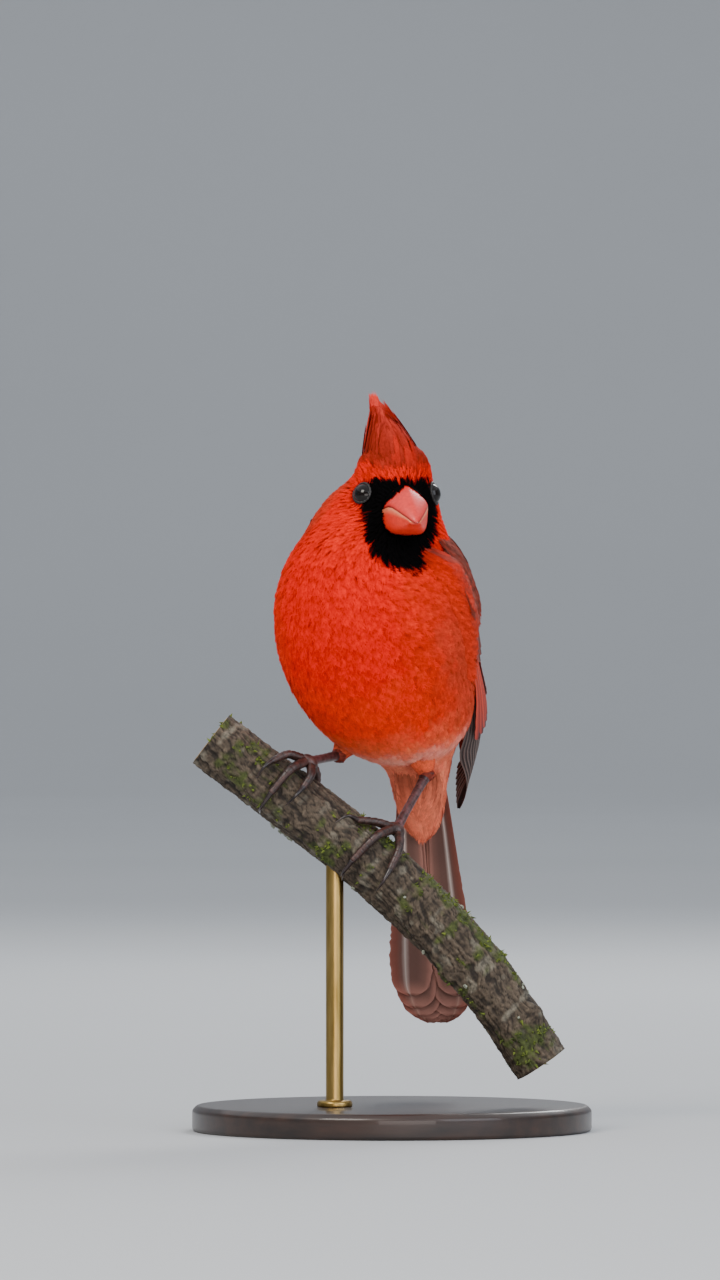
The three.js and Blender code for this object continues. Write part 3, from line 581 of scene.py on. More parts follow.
@dataclass(frozen=True)
class SurfaceFinish(Finish):
    """A plain surface of two tones in patches, with grain.

    The scales are patches to the metre, and the grain's height is in metres.
    """

    dark: str
    light: str
    roughness: float
    patch: float
    grain: float
    height: float
    stretch: Triple = (1.0, 1.0, 1.0)
    metallic: float = 0.0
    coat: float = 0.0
    specular: float = 0.5

    def material(self, n: Surface) -> bpy.types.Material:
        """The two tones in soft patches, with the grain as bump."""
        place = n.place(self.stretch)
        colour = n.steps(n.noise(place, self.patch, 4.0), (0.3, tone(self.dark)), (0.7, tone(self.light)))
        return n.finish(
            colour,
            (n.noise(place, self.grain, 3.0), 0.5, self.height),
            Roughness=self.roughness,
            Metallic=self.metallic,
            Coat_Weight=self.coat,
            Specular_IOR_Level=self.specular,
        )


@dataclass(frozen=True)
class TonedFinish(Finish):
    """A surface whose tones the mesh carries, with grain as bump."""

    roughness: float
    grain: float
    height: float
    contrast: float = 0.2
    coat: float = 0.0
    glow: float = 0.0

    def material(self, n: Surface) -> bpy.types.Material:
        """The carried tones, mottled a little."""
        grain = n.noise(n.place(), self.grain, 4.0)
        mottle = n.steps(grain, (0.3, 1.0 - self.contrast), (0.7, 1.0 + 0.5 * self.contrast))
        values: dict[str, object] = {"Roughness": self.roughness, "Coat_Weight": self.coat}
        if self.glow:
            values |= {"Subsurface_Weight": self.glow, **SUBSURFACE}
        return n.finish(n.times(n.carried(), mottle), (grain, 0.5, self.height), **values)


# The bird's stance

BODY = Frame((-6.2, -6.0, 154.6), -22.0, 57.0)
HEAD = Frame((1.4, -23.0, 197.2), 14.0, -10.0)
TAIL = Frame((8.9, 19.0, 122.9), -10.0, 70.0)
SIDES = {"left": 1.0, "right": -1.0}


@dataclass(frozen=True)
class Lobe:
    """One rounded mass of the plumage: its middle and half-sizes ahead, left and up in its frame."""

    frame: Frame
    centre: Triple
    half: Triple

    def distance(self, points: Array) -> Array:
        """How far points are outside, roughly in millimetres, and negative inside."""
        half = np.array(self.half)
        scaled = (self.frame.local(points) - np.array(self.centre)) / half
        size = np.linalg.norm(scaled, axis=-1)
        return size * (size - 1) / np.maximum(np.linalg.norm(scaled / half, axis=-1), 1e-9)


@dataclass(frozen=True)
class Eye:
    """The eyeball's size and its place in the head's frame, sunk to the bare rim of its lids."""

    radius: float = 3.6
    ahead: float = 2.6
    up: float = 0.2
    rim: float = 3.05
    rim_thickness: float = 0.34
    proud: float = 0.25

    @cached_property
    def seats(self) -> dict[float, tuple[Array, Array]]:
        """The eyeball's centre and the way that it looks, for each side."""
        found = {}
        for side in SIDES.values():
            inner = HEAD.at((self.ahead, 0.0, self.up))
            place = PLUMAGE.rays(inner[None], unit(HEAD.turn((0.1, side, 0.05)))[None], 0.0)
            axis = unit(PLUMAGE.gradient(place))[0]
            sunk = math.sqrt(self.radius**2 - self.rim**2) - self.proud
            found[side] = (place[0] - axis * sunk, axis)
        return found

    def near(self, points: Array) -> Array:
        """How far points are outside the rim of the nearer eye, in millimetres."""
        gaps = []
        for middle, axis in self.seats.values():
            offset = points - middle
            along = offset @ axis
            across = np.sqrt(np.maximum((offset**2).sum(-1) - along**2, 0))
            gaps.append(np.where(along > 0, across, np.linalg.norm(offset, axis=-1)) - self.rim)
        return np.minimum(*gaps)


EYE = Eye()


class Plumage:
    """The bird's outer form, a smooth union of lobes, and the lie of the feathers on it."""

    BLEND = 2.4
    LOBES = (
        Lobe(BODY, (0, 1.2, -5), (42, 29.8, 23.4)),
        Lobe(BODY, (0, 1.2, 6.5), (41, 26.2, 20.5)),
        Lobe(BODY, (27.5, 3.4, 9.8), (19, 18.5, 16.5)),
        Lobe(BODY, (20, 13, 8), (16, 15, 13)),
        Lobe(BODY, (-24, 8.5, -1), (19.5, 19, 16.5)),
        Lobe(BODY, (-33.7, 3.6, 3), (19, 14.5, 12.5)),
        Lobe(HEAD, (-3, 0, 0.4), (13, 10.5, 12)),
        Lobe(HEAD, (5, 0, -4), (7.6, 7.4, 7.6)),
        Lobe(HEAD, (-5.5, 0, -6.5), (11.5, 13.2, 10.6)),
        Lobe(HEAD, (1, 0, -12.5), (9.4, 11.4, 9.8)),
        Lobe(HEAD, (-5, 0, 8), (8.8, 10.2, 7.2)),
        Lobe(TAIL, (-12.5, 0, -7), (20.5, 8.3, 5)),
        Lobe(TAIL, (-5, 0, 1.2), (20, 8.6, 5.2)),
    )
    LINE = (
        (TAIL, (-31, 0, -6)),
        (TAIL, (-14, 0, -4)),
        (BODY, (-31, 1, 4)),
        (BODY, (-15, 0, 2)),
        (BODY, (4, 0.5, 0)),
        (BODY, (19, 5, 1)),
        (HEAD, (-2, 0, -9)),
        (HEAD, (-2.5, 0, 2)),
        (HEAD, (-4, -0.8, 16)),
    )
    BILL_BASE = (9.0, 0.0, -2.0)
    REACH = 70.0
    STRIDE = 1.5
    STEP = 0.05

    def __init__(self) -> None:
        """Sets the line that cross-sections are taken on."""
        self.line = Curve([axes.at(place) for axes, place in self.LINE])

    def field(self, points: Array) -> Array:
        """Zero on the plumage's surface, positive outside, in about millimetres."""
        near = sum(np.exp(-lobe.distance(points) / self.BLEND) for lobe in self.LOBES)
        return -self.BLEND * np.log(near)

    def gradient(self, points: Array) -> Array:
        """The field's slope."""
        base = self.field(points)
        return np.stack([(self.field(points + self.STEP * axis) - base) / self.STEP for axis in np.eye(3)], axis=-1)

    def settle(self, points: Array, level: Array | float) -> tuple[Array, Array]:
        """Moves points near the surface onto a level of the field, in millimetres outside it.

        Returns:
            The places and the outward normals there.
        """
        for _ in range(3):
            slope = self.gradient(points)
            miss = (self.field(points) - level) / np.maximum((slope**2).sum(-1), 1e-6)
            points = points - slope * np.clip(miss, -2.0, 2.0)[..., None]
        return points, unit(self.gradient(points))

    def ahead(self, share: Array) -> Array:
        """The direction that cross-sections are square to, turning evenly from tail to crown."""
        along = blend(TAIL.axes[0], BODY.axes[0], ease(share, 0.05, 0.35))
        return unit(blend(along, HEAD.axes[2], ease(share, 0.5, 0.9)))

    def rays(self, start: Array, direction: Array, level: Array | float) -> Array:
        """The first places on rays from inside where the field reaches a level."""
        inside = np.zeros(start.shape[:-1])
        outside = np.full(start.shape[:-1], self.REACH)
        found = np.zeros(start.shape[:-1], bool)
        for distance in np.arange(1.0, self.REACH, self.STRIDE):
            beyond = self.field(start + direction * distance) >= level
            outside = np.where(beyond & ~found, distance, outside)
            found |= beyond
            inside = np.where(found, inside, distance)
        for _ in range(11):
            middle = (inside + outside) / 2
            below = self.field(start + direction * middle[..., None]) < level
            inside, outside = np.where(below, middle, inside), np.where(below, outside, middle)
        return start + direction * outside[..., None]

    def section(self, share: Array, angle: Array, level: Array | float) -> Array:
        """Places on the surface by share along the line and angle round it, 90 degrees at the back."""
        along = self.ahead(share)
        side = square_to(blend(BODY.axes[1], HEAD.axes[1], ease(share, 0.5, 0.9)), along)
        direction = side * np.cos(angle)[..., None] + np.cross(along, side) * np.sin(angle)[..., None]
        return self.rays(self.line.at(share), direction, level)

    def lie(self, points: Array, normals: Array) -> Array:
        """The way the feathers lie: back from the bill, up the crown, down the body, round the eyes."""
        up = HEAD.local(points)[:, 2]
        along, left, _ = BODY.local(points).T
        sideways = ease(np.abs(left), 9.0, 24.0) * ease(along, -16.0, 6.0)
        body = -BODY.axes[0] + 0.12 * unit(points - BODY.at((40, 0, 0)))
        body = body + BODY.axes[2] * (0.75 * sideways)[:, None]
        flow = blend(body, -TAIL.axes[0], ease(-along, 26.0, 44.0))
        face = unit(points - HEAD.at(self.BILL_BASE))
        face = blend(face, HEAD.turn((-0.75, -0.1, 0.55)), ease(up, 3.0, 9.0) * 0.85)
        flow = blend(flow, face, ease(up, -25.0, -11.0))
        for middle, _ in EYE.seats.values():
            away = points - middle
            near = 1.0 - ease(np.linalg.norm(away, axis=-1), EYE.radius, EYE.radius + 3.2)
            flow = flow + unit(away) * (1.6 * near)[:, None]
        return square_to(flow, normals)


PLUMAGE = Plumage()


class Region(str, Enum):
    """Tones of the male's plumage, by where they lie."""

    BREAST = "f40a00"
    BREAST_SIDE = "dc2c0c"
    BELLY = "fc2e06"
    LOWER_BELLY = "fa6a44"
    FLANK = "c8442c"
    UNDERTAIL = "f68060"
    FLUFF = "ffb4a4"
    BACK = "8c3a30"
    RUMP = "b83a2a"
    NAPE = "cc3a22"
    CHEEK = "f61a02"
    BROW = "ee1c02"
    CREST = "a42a1c"
    # The crest's paler, pinker tip: partly the feathers' own colour, partly painted light where light from behind
    # catches it.
    CREST_TIP = "e04438"
    MASK = "040304"
    THIGH = "a04a3c"


class Markings:
    """Where each tone of the plumage lies."""

    RAGGED = 0.9

    def mask(self, points: Array) -> Array:
        """How far points are inside the black face and bib, in about millimetres."""
        ahead, left, up = HEAD.local(points).T
        high = up - 6.6 + 2.4 * (np.abs(left) / 11.0) ** 3
        corner = 11.0 - np.hypot(np.maximum(np.abs(left) - 2.0, 0), np.maximum(-10.4 - up, 0))
        rear = ahead - 2.6 + 0.6 * np.minimum(up + 1.0, 0.0)
        return np.minimum.reduce([corner, -high, rear]) + self.RAGGED * ripple(points, 3.0, 5)

    def colour(self, points: Array) -> Array:
        """The plumage's colour at each point."""
        s, left, up = BODY.local(points).T
        under, _, drop = TAIL.local(points).T
        ahead, _, high = HEAD.local(points).T
        patchy = ripple(points, 16.0, 8)
        side = np.abs(left) / 26.0 + 0.1 * patchy
        flank = ease(left + 0.5 * up + 3 * patchy, 15.0, 27.0) * ease(-s, -26.0, 2.0)
        fluff = np.exp(-(((s + 37.0 + 2 * patchy) / 3.5) ** 2)) * ease(-up, -4.0, 4.0)
        face = painted(
            Region.CHEEK,
            (Region.NAPE, ease(-ahead + 2 * patchy, 2.0, 10.0)),
            (Region.BROW, ease(high, 2.0, 5.0) * ease(ahead, -3.0, 3.0)),
            (Region.CREST, ease(high + patchy, 8.0, 11.5)),
        )
        return painted(
            Region.BREAST,
            (Region.BELLY, ease(-s + 4 * patchy, -6.0, 16.0)),
            (Region.BREAST_SIDE, 0.7 * ease(side, 0.55, 0.95)),
            (Region.LOWER_BELLY, ease(-s + 3 * patchy, 18.0, 36.0)),
            (Region.FLANK, 0.75 * flank),
            (Region.BACK, ease(up + 2 * patchy, 5.0, 16.0)),
            (Region.RUMP, ease(-s, 22.0, 34.0) * ease(up, 4.0, 12.0)),
            (Region.UNDERTAIL, ease(-under, -6.0, 6.0) * ease(-drop, -1.0, 3.0)),
            (Region.FLUFF, 0.55 * fluff),
            (face, ease(high, -24.0, -12.0)),
            (Region.MASK, ease(self.mask(points), -0.35, 0.35)),
        )


MARKINGS = Markings()


# The skin and its coat of small feathers


@dataclass(frozen=True)
class Skin:
    """The closed skin under the coat, in rings from the tail's root up to the crown."""

    steps: int = 170
    sides: int = 128
    depth: float = 1.5
    head_depth: float = 0.75
    shade: float = 0.55

    def level(self, points: Array) -> Array:
        """How far the skin lies inside the plumage's surface, as a negative level."""
        face = ease(HEAD.local(points)[..., 2], -22.0, -10.0)
        lids = 1 - ease(EYE.near(points), 0.5, 3.5)
        return -(self.depth * (1 - face) + self.head_depth * face) * (1 - 0.65 * lids)

    def build(self) -> Array:
        """Makes the skin, with the same markings as the coat, and gives its points in rings."""
        share, angle = crossed(np.linspace(0, 1, self.steps + 1), circle(self.sides))
        outer = PLUMAGE.section(share, angle, 0.0)
        points = PLUMAGE.section(share, angle, self.level(outer))
        poles = []
        for end, sense in ((0.0, -1.0), (1.0, 1.0)):
            start = PLUMAGE.line.at(np.array([end]))
            poles.append(PLUMAGE.rays(start, sense * PLUMAGE.ahead(np.array([end])), -self.head_depth)[0])
        form = loft(points, (poles[0], poles[1]))
        form.tone = MARKINGS.colour(form.points) * self.shade
        unwrap = np.stack([angle.ravel() / (2 * math.pi), share.ravel()], -1)
        form.bake = np.vstack([unwrap, [[0.5, 0.0], [0.5, 1.0]]])
        form.vane = np.full((len(form.points), 2), 0.5)
        nodes = ("head", "neck", "torso", "rump")
        build("skin", form, FeatherFinish("skin under the coat"), nodes)
        return points


@dataclass
class Shafts:
    """Small feathers' middle lines, feathers by stations by three, with sides and outward normals."""

    points: Array
    sides: Array
    normals: Array

    @staticmethod
    def facing(points: Array, out: Array) -> "Shafts":
        """Shafts through points, of feathers that face a direction."""
        along = unit(np.gradient(points, axis=1))
        sides = unit(np.cross(out, along))
        return Shafts(points, sides, np.cross(along, sides))

    def take(self, which: Array) -> "Shafts":
        """Some of the shafts."""
        return Shafts(self.points[which], self.sides[which], self.normals[which])


@dataclass(frozen=True)
class Tuft:
    """A small body feather: a narrow vane with free barbs that fan out from its shaft.

    Along runs from 0 at the root to 1 at the tip, and across from -1 to 1.
    """

    barbs: int
    variants: int = 4
    patch: float = 0.003

    ROWS = ((0.0, 0.25), (0.3, 0.5), (0.58, 0.52), (0.86, 0.12))
    TIPS = (-0.22, 0.03, 0.24)

    @cached_property
    def templates(self) -> list[tuple[Array, Array]]:
        """Variants of the feather, each as points of along, across and lift, and triangles."""
        return [self.template(draws(k)) for k in range(self.variants)]

    def template(self, rng: Random) -> tuple[Array, Array]:
        """One variant, its small irregularities drawn from a generator."""
        points: list[Triple] = []
        faces: list[tuple[int, int, int]] = []
        for a, half in self.ROWS:
            points += [(a, -half, 0.0), (a, 0.0, 0.1), (a, half, 0.0)]
        for k in (0, 1, 3, 4, 6, 7):
            faces += [(k, k + 3, k + 4), (k, k + 4, k + 1)]
        for side in (-1.0, 1.0):
            for i in range(self.barbs):
                share = (i + 0.5 + rng.uniform(-0.25, 0.25)) / self.barbs
                start = 0.1 + 0.66 * share
                reach = 0.38 * (1 - 0.3 * share) * rng.uniform(0.85, 1.15)
                out = side * math.sin(math.pi * min(0.18 + 0.72 * share, 1.0)) ** 0.6 * rng.uniform(0.8, 1.1)
                lift = rng.uniform(0.02, 0.22)
                bend, high, k = start + 0.42 * reach, 0.12 + 0.5 * lift, len(points)
                points += [(start, 0.0, 0.12), (start + 0.09, 0.0, 0.12), (bend, 0.6 * out, high)]
                points += [(bend + 0.07, 0.52 * out, high), (start + reach, out, lift)]
                faces += [(k, k + 1, k + 3), (k, k + 3, k + 2), (k + 2, k + 3, k + 4)]
        for across in self.TIPS:
            k = len(points)
            points += [(0.74, across * 0.4 - 0.07, 0.1), (0.74, across * 0.4 + 0.07, 0.1)]
            points += [(rng.uniform(0.96, 1.05), across, rng.uniform(0.0, 0.2))]
            faces += [(k, k + 1, k + 2)]
        place, index = np.array(points), np.array(faces)
        a, b, c = (place[index[:, k], :2] for k in range(3))
        first, second = b - a, c - a
        turned = first[:, 0] * second[:, 1] - first[:, 1] * second[:, 0] < 0
        index[turned] = index[turned][:, ::-1]
        return place, index

    def spread(self, shafts: Shafts, widths: Array, tones: Array, bake: Array, seed: int) -> Form:
        """Feathers on given shafts, each bent along its own.

        Args:
            shafts: Where they lie.
            widths: Half-width of each.
            tones: Colour of each.
            bake: Place of each root on the unwrap.
            seed: Which feathers get which variant.

        Returns:
            One form for all of them.
        """
        pick = np.random.default_rng(seed).integers(self.variants, size=len(shafts.points))
        forms = []
        last = shafts.points.shape[1] - 1
        for variant, (place, faces) in enumerate(self.templates):
            chosen = np.flatnonzero(pick == variant)
            if not len(chosen):
                continue
            along, across, lift = place.T
            low = np.minimum((np.clip(along, 0, 1.0) * last).astype(int), last - 1)
            part = (along * last - low)[:, None]
            lines, sides, normals = (
                values[chosen][:, low] * (1 - part) + values[chosen][:, low + 1] * part
                for values in (shafts.points, shafts.sides, shafts.normals)
            )
            width = widths[chosen][:, None, None]
            droop = 0.6 * lift - 0.22 * across**2
            points = lines + sides * across[:, None] * width + normals * droop[:, None] * width
            count, size = len(chosen), len(along)
            patch = self.patch * np.stack([across * 0.5, along - 0.5], -1)
            forms.append(
                Form(
                    points.reshape(-1, 3),
                    (faces[None] + (np.arange(count) * size)[:, None, None]).reshape(-1, 3),
                    np.repeat(tones[chosen], size, axis=0),
                    np.tile(np.stack([across, along], -1), (count, 1)),
                    (bake[chosen][:, None] + patch).reshape(-1, 2),
                )
            )
        return Form.joined(forms)


@dataclass(frozen=True)
class FeatherSizes:
    """A size of the small feathers on the face, the head and the body, in millimetres."""

    face: float
    head: float
    body: float

    def at(self, points: Array) -> Array:
        """The size at each point, larger at the belly's end and smaller round the eyes."""
        on_body = self.body * (1 + 0.3 * ease(-BODY.local(points)[:, 0], 24.0, 40.0))
        on_head = on_body + (self.head - on_body) * ease(HEAD.local(points)[:, 2], -24.0, -10.0)
        on_face = on_head + (self.face - on_head) * self.faceness(points)
        return on_face * (0.6 + 0.4 * ease(EYE.near(points), 0.4, 5.0))

    @staticmethod
    def faceness(points: Array) -> Array:
        """1 round the bill, falling to 0 at the neck."""
        return 1 - ease(np.linalg.norm(points - HEAD.at((10, 0, -3)), axis=-1), 6.0, 19.0)


@dataclass
class Coat:
    """Roots the small feathers on the skin's rings, clear of the wings, and makes the coat's pieces."""

    skin: Array
    wings: Sequence["Wing"]
    length: FeatherSizes = FeatherSizes(2.6, 4.8, 7.6)
    gap: FeatherSizes = FeatherSizes(0.62, 0.76, 0.86)
    slender: float = 0.16
    lift: float = 0.14
    yaw: float = 0.1
    over_rim: float = 0.2
    samples: int = 200000
    limit: int = 190000

    def __post_init__(self) -> None:
        """Starts the random draws."""
        self.rng = draws(0)

    def roots(self) -> tuple[Array, Array]:
        """Evenly spaced roots on the skin.

        Returns:
            The roots and their places on the unwrap.
        """
        grid = np.concatenate([self.skin, self.skin[:, :1]], axis=1)
        a, b, c = grid[:-1, :-1], grid[:-1, 1:], grid[1:, :-1]
        area = np.linalg.norm(np.cross(b - a, c - a), axis=-1).ravel()
        cell = self.rng.choice(len(area), self.samples, p=area / area.sum())
        i, j = np.divmod(cell, self.skin.shape[1])
        u, v = self.rng.random((2, self.samples, 1))
        low = grid[i, j] * (1 - u) + grid[i, j + 1] * u
        high = grid[i + 1, j] * (1 - u) + grid[i + 1, j + 1] * u
        points = low * (1 - v) + high * v
        place = np.stack([(j + u[:, 0]) / self.skin.shape[1], (i + v[:, 0]) / (self.skin.shape[0] - 1)], -1)
        keep = (EYE.near(points) > EYE.rim_thickness) & ~BILL.holds(HEAD.local(points))
        for wing in self.wings:
            keep &= ~wing.covers(points)
        points, place = points[keep], place[keep]
        chosen = self.thinned(points, self.gap.at(points))
        return points[chosen], place[chosen]

    def thinned(self, points: Array, gap: Array) -> Array:
        """Indices of points that keep their gap from each other."""
        keys = np.floor(points / float(gap.max())).astype(int)
        taken: dict[tuple[int, int, int], list[Triple]] = {}
        chosen = []
        around = [(x, y, z) for x in (-1, 0, 1) for y in (-1, 0, 1) for z in (-1, 0, 1)]
        for index, ((i, j, k), (x, y, z), size) in enumerate(zip(keys.tolist(), points.tolist(), (gap**2).tolist())):
            near = (other for a, b, c in around for other in taken.get((i + a, j + b, k + c), ()))
            if all((x - p) ** 2 + (y - q) ** 2 + (z - r) ** 2 >= size for p, q, r in near):
                taken.setdefault((i, j, k), []).append((x, y, z))
                chosen.append(index)
        return np.array(chosen)

    def shafts(self, roots: Array, lengths: Array) -> Shafts:
        """Shafts of given lengths that leave the skin at their roots and follow the plumage's surface."""
        yaw = self.rng.normal(0, self.yaw, len(roots))[:, None]
        top = self.rng.normal(0, self.lift, len(roots)) * np.minimum(lengths / 8.0, 1.0)
        for wing in self.wings:
            top = top + wing.fringe(roots)
        depth = -PLUMAGE.field(roots)
        raised = 1 - 0.75 * (1 - ease(EYE.near(roots), 0.5, 2.5))
        points, normals = PLUMAGE.settle(roots, -depth * raised)
        rows, sides, ups = [], [], []
        for k in range(STATIONS):
            flow = PLUMAGE.lie(points, normals)
            flow = unit(flow + np.cross(normals, flow) * yaw)
            rows.append(points)
            sides.append(np.cross(normals, flow))
            ups.append(normals)
            level = -depth + (depth + top) * min(((k + 1) / (STATIONS - 1)) ** 0.8, 1.0)
            points, normals = PLUMAGE.settle(points + flow * (lengths / (STATIONS - 1))[:, None], level)
        return Shafts(np.stack(rows, 1), np.stack(sides, 1), np.stack(ups, 1))

    def build(self) -> None:
        """Makes the coat, in pieces from the face to the tail's coverts."""
        roots, place = self.roots()
        lengths = self.length.at(roots) * self.rng.uniform(0.82, 1.18, len(roots))
        widths = lengths * self.slender * self.rng.uniform(0.85, 1.2, len(roots))
        shafts = self.shafts(roots, lengths)
        clear = EYE.near(shafts.points).min(axis=1) > self.over_rim
        roots, place, widths, shafts = roots[clear], place[clear], widths[clear], shafts.take(clear)
        mottle = 1 + 0.13 * ripple(roots, 9.0, 3) + 0.08 * ripple(roots, 3.5, 4)
        value = self.rng.normal(1.0, 0.07, (len(roots), 1)) * mottle[:, None]
        warm = self.rng.normal(0.0, 0.06, (len(roots), 1)) * np.array([[0.0, 1.0, 0.6]])
        tones = np.clip(MARKINGS.colour(shafts.points[:, -2]) * np.clip(value, 0.6, 1.4) * (1 + warm), 0, 1)
        face = self.gap.faceness(roots) > 0.02
        order = np.argsort(place[:, 1], kind="stable")
        for name, members, barbs in (("face", order[face[order]], 5), ("body", order[~face[order]], 7)):
            tuft = Tuft(barbs)
            parts = max(1, math.ceil(len(members) * len(tuft.templates[0][1]) / self.limit))
            for k, part in enumerate(np.array_split(members, parts)):
                form = tuft.spread(shafts.take(part), widths[part], tones[part], place[part], SEED + k)
                build(f"{name}_feathers_{k + 1}", form, FeatherFinish("body feathers"))


# The crest


@dataclass(frozen=True)
class Crest:
    """Narrow crest feathers in rows from the brow to the nape, swept up to one tip."""

    rows: int = 15
    columns: int = 11
    first_root: float = 8.0
    last_root: float = -12.0
    spread: float = 9.2
    first_tip: Triple = (-2.0, 0.0, 17.5)
    last_tip: Triple = (-19.0, -4.6, 28.7)
    half_width: float = 1.1
    sink: float = 1.6
    stray: float = 0.45
    stations: int = 9
    barbs: int = 20
    nape_count: int = 90
    core_sides: int = 48

    def shafts(self, back: Array, side: Array, reach: Array, rng: Random) -> Array:
        """Shafts of the crest.

        Args:
            back: 0 at the brow to 1 at the nape.
            side: -1 at the right to 1 at the left.
            reach: How much of the way to the crest's tip each goes.
            rng: Where small irregularities come from.

        Returns:
            Feathers by stations by three.
        """
        ahead = self.first_root + (self.last_root - self.first_root) * back
        left = side * self.spread * (0.5 + 0.5 * ease(back, 0.0, 0.45)) * (1 - 0.3 * back)
        up = unit(HEAD.turn(np.stack([-0.25 * back, 0.45 * side, np.ones_like(back)], -1)))
        root = PLUMAGE.rays(HEAD.at(np.stack([ahead, left, np.full_like(back, 2.0)], -1)), up, 0.0) - up * self.sink
        tip = blend(np.array(self.first_tip), np.array(self.last_tip), back**0.8)
        tip[:, 1] += side * (5.0 - 4.0 * back)
        tip[:, 2] -= 2.2 * side**2 * (1 - back)
        tip = HEAD.at(tip + rng.normal(0, self.stray, tip.shape))
        bulge = (root + tip) / 2 + HEAD.turn(np.stack([1.8 - 2.4 * back, side * 0.6, 1.2 - back], -1))
        return self.bent(root, bulge, tip, reach)

    def bent(self, root: Array, bulge: Array, tip: Array, reach: Array) -> Array:
        """Shafts as curves from root to tip, pulled towards a bulge, and cut at a share of the way."""
        t = np.linspace(0, 1, self.stations)[None, :, None] * reach[:, None, None]
        return root[:, None] * (1 - t) ** 2 + bulge[:, None] * 2 * t * (1 - t) + tip[:, None] * t**2

    def nape(self, rng: Random) -> Array:
        """Shorter shafts from the back of the head up against the crest."""
        side, low = rng.uniform(-1, 1, self.nape_count), rng.uniform(0, 1, self.nape_count)
        inner = HEAD.at(np.stack([-4 - 2 * low, side * 5.0, 9 - 9 * low], -1))
        out = unit(HEAD.turn(np.stack([-np.ones_like(low), 0.35 * side, 0.45 - 0.2 * low], -1)))
        root = PLUMAGE.rays(inner, out, 0.0) - out * 1.2
        aim = HEAD.at(np.array(self.last_tip) + rng.normal(0, 0.4, (self.nape_count, 3)) + np.array([1.5, 0, 0]))
        bulge = (root + aim) / 2 - out * 0.6
        return self.bent(root, bulge, aim, rng.uniform(0.2, 0.48, self.nape_count) * (1 - 0.35 * low))

    def rings(self, reach: float) -> Array:
        """Smooth rings round the crest from its base up, stations by places by three."""
        turn = circle(self.core_sides)
        smooth, still = replace(self, stray=0.0), draws(0)
        lines = smooth.shafts(0.5 + 0.5 * np.cos(turn), np.sin(turn), np.full(len(turn), reach), still)
        return np.swapaxes(lines, 0, 1)

    def middle(self, points: Array) -> Array:
        """The place of the crest's middle line that is nearest to each point."""
        line = Curve(list(self.rings(1.0).mean(axis=1))).at(np.linspace(0, 1, 40))
        return line[np.linalg.norm(points[..., None, :] - line, axis=-1).argmin(axis=-1)]

    def core(self) -> Form:
        """The full middle of the crest, under its feathers."""
        rings = self.rings(0.9)
        middle = rings.mean(axis=1, keepdims=True)
        form = loft(middle + (rings - middle) * np.linspace(1.0, 0.92, len(rings))[:, None, None])
        # Brighter than the crest's own tone: painted light, so that the shaded gaps between its feathers are less dark.
        return form.under_feathers(tone(Region.CREST) * 1.2)

    def build(self) -> None:
        """Makes the crest's feathers."""
        rng = draws(1)
        row, column = (line.ravel() for line in crossed(np.arange(self.rows), np.arange(self.columns)))
        back = np.clip((row + rng.uniform(-0.35, 0.35, row.size)) / (self.rows - 1), 0, 1)
        side = np.clip(2 * (column + rng.uniform(-0.35, 0.35, row.size)) / (self.columns - 1) - 1, -1, 1)
        side = side * (1 - 0.6 * ease(back, 0.65, 1.0))
        reach = np.where(rng.random(row.size) < 0.5, 1.0, rng.uniform(0.45, 0.95, row.size))
        shaft = np.concatenate([self.shafts(back, side, reach, rng), self.nape(rng)])
        back = np.concatenate([back, np.ones(self.nape_count)])
        shafts = Shafts.facing(shaft, shaft - self.middle(shaft) + HEAD.turn((0.6, 0.0, 0.0)))
        high = ease(HEAD.local(shaft[:, -1])[:, 2], 17.0, 27.0)
        # Pinker towards the crest's tip with height: partly its own colour, partly painted light on the tip.
        tones = painted(Region.BROW, (Region.CREST, ease(back, -0.1, 0.06)), (Region.CREST_TIP, high * 0.6))
        # The rear rows and the nape feathers are made up to half again as bright: painted light against the shade among
        # them.
        tones = tones * rng.uniform(0.82, 1.15, (len(back), 1)) * (1 + 0.5 * ease(back, 0.6, 1.0))[:, None]
        place = np.stack([np.full_like(back, 0.25), 0.9 + 0.08 * back], -1)
        widths = self.half_width * rng.uniform(0.8, 1.25, len(back))
        form = Form.joined([Tuft(self.barbs).spread(shafts, widths, tones, place, SEED), self.core()])
        build("crest_feathers", form, FeatherFinish("crest feathers", 0.7))


# Eyes and bill


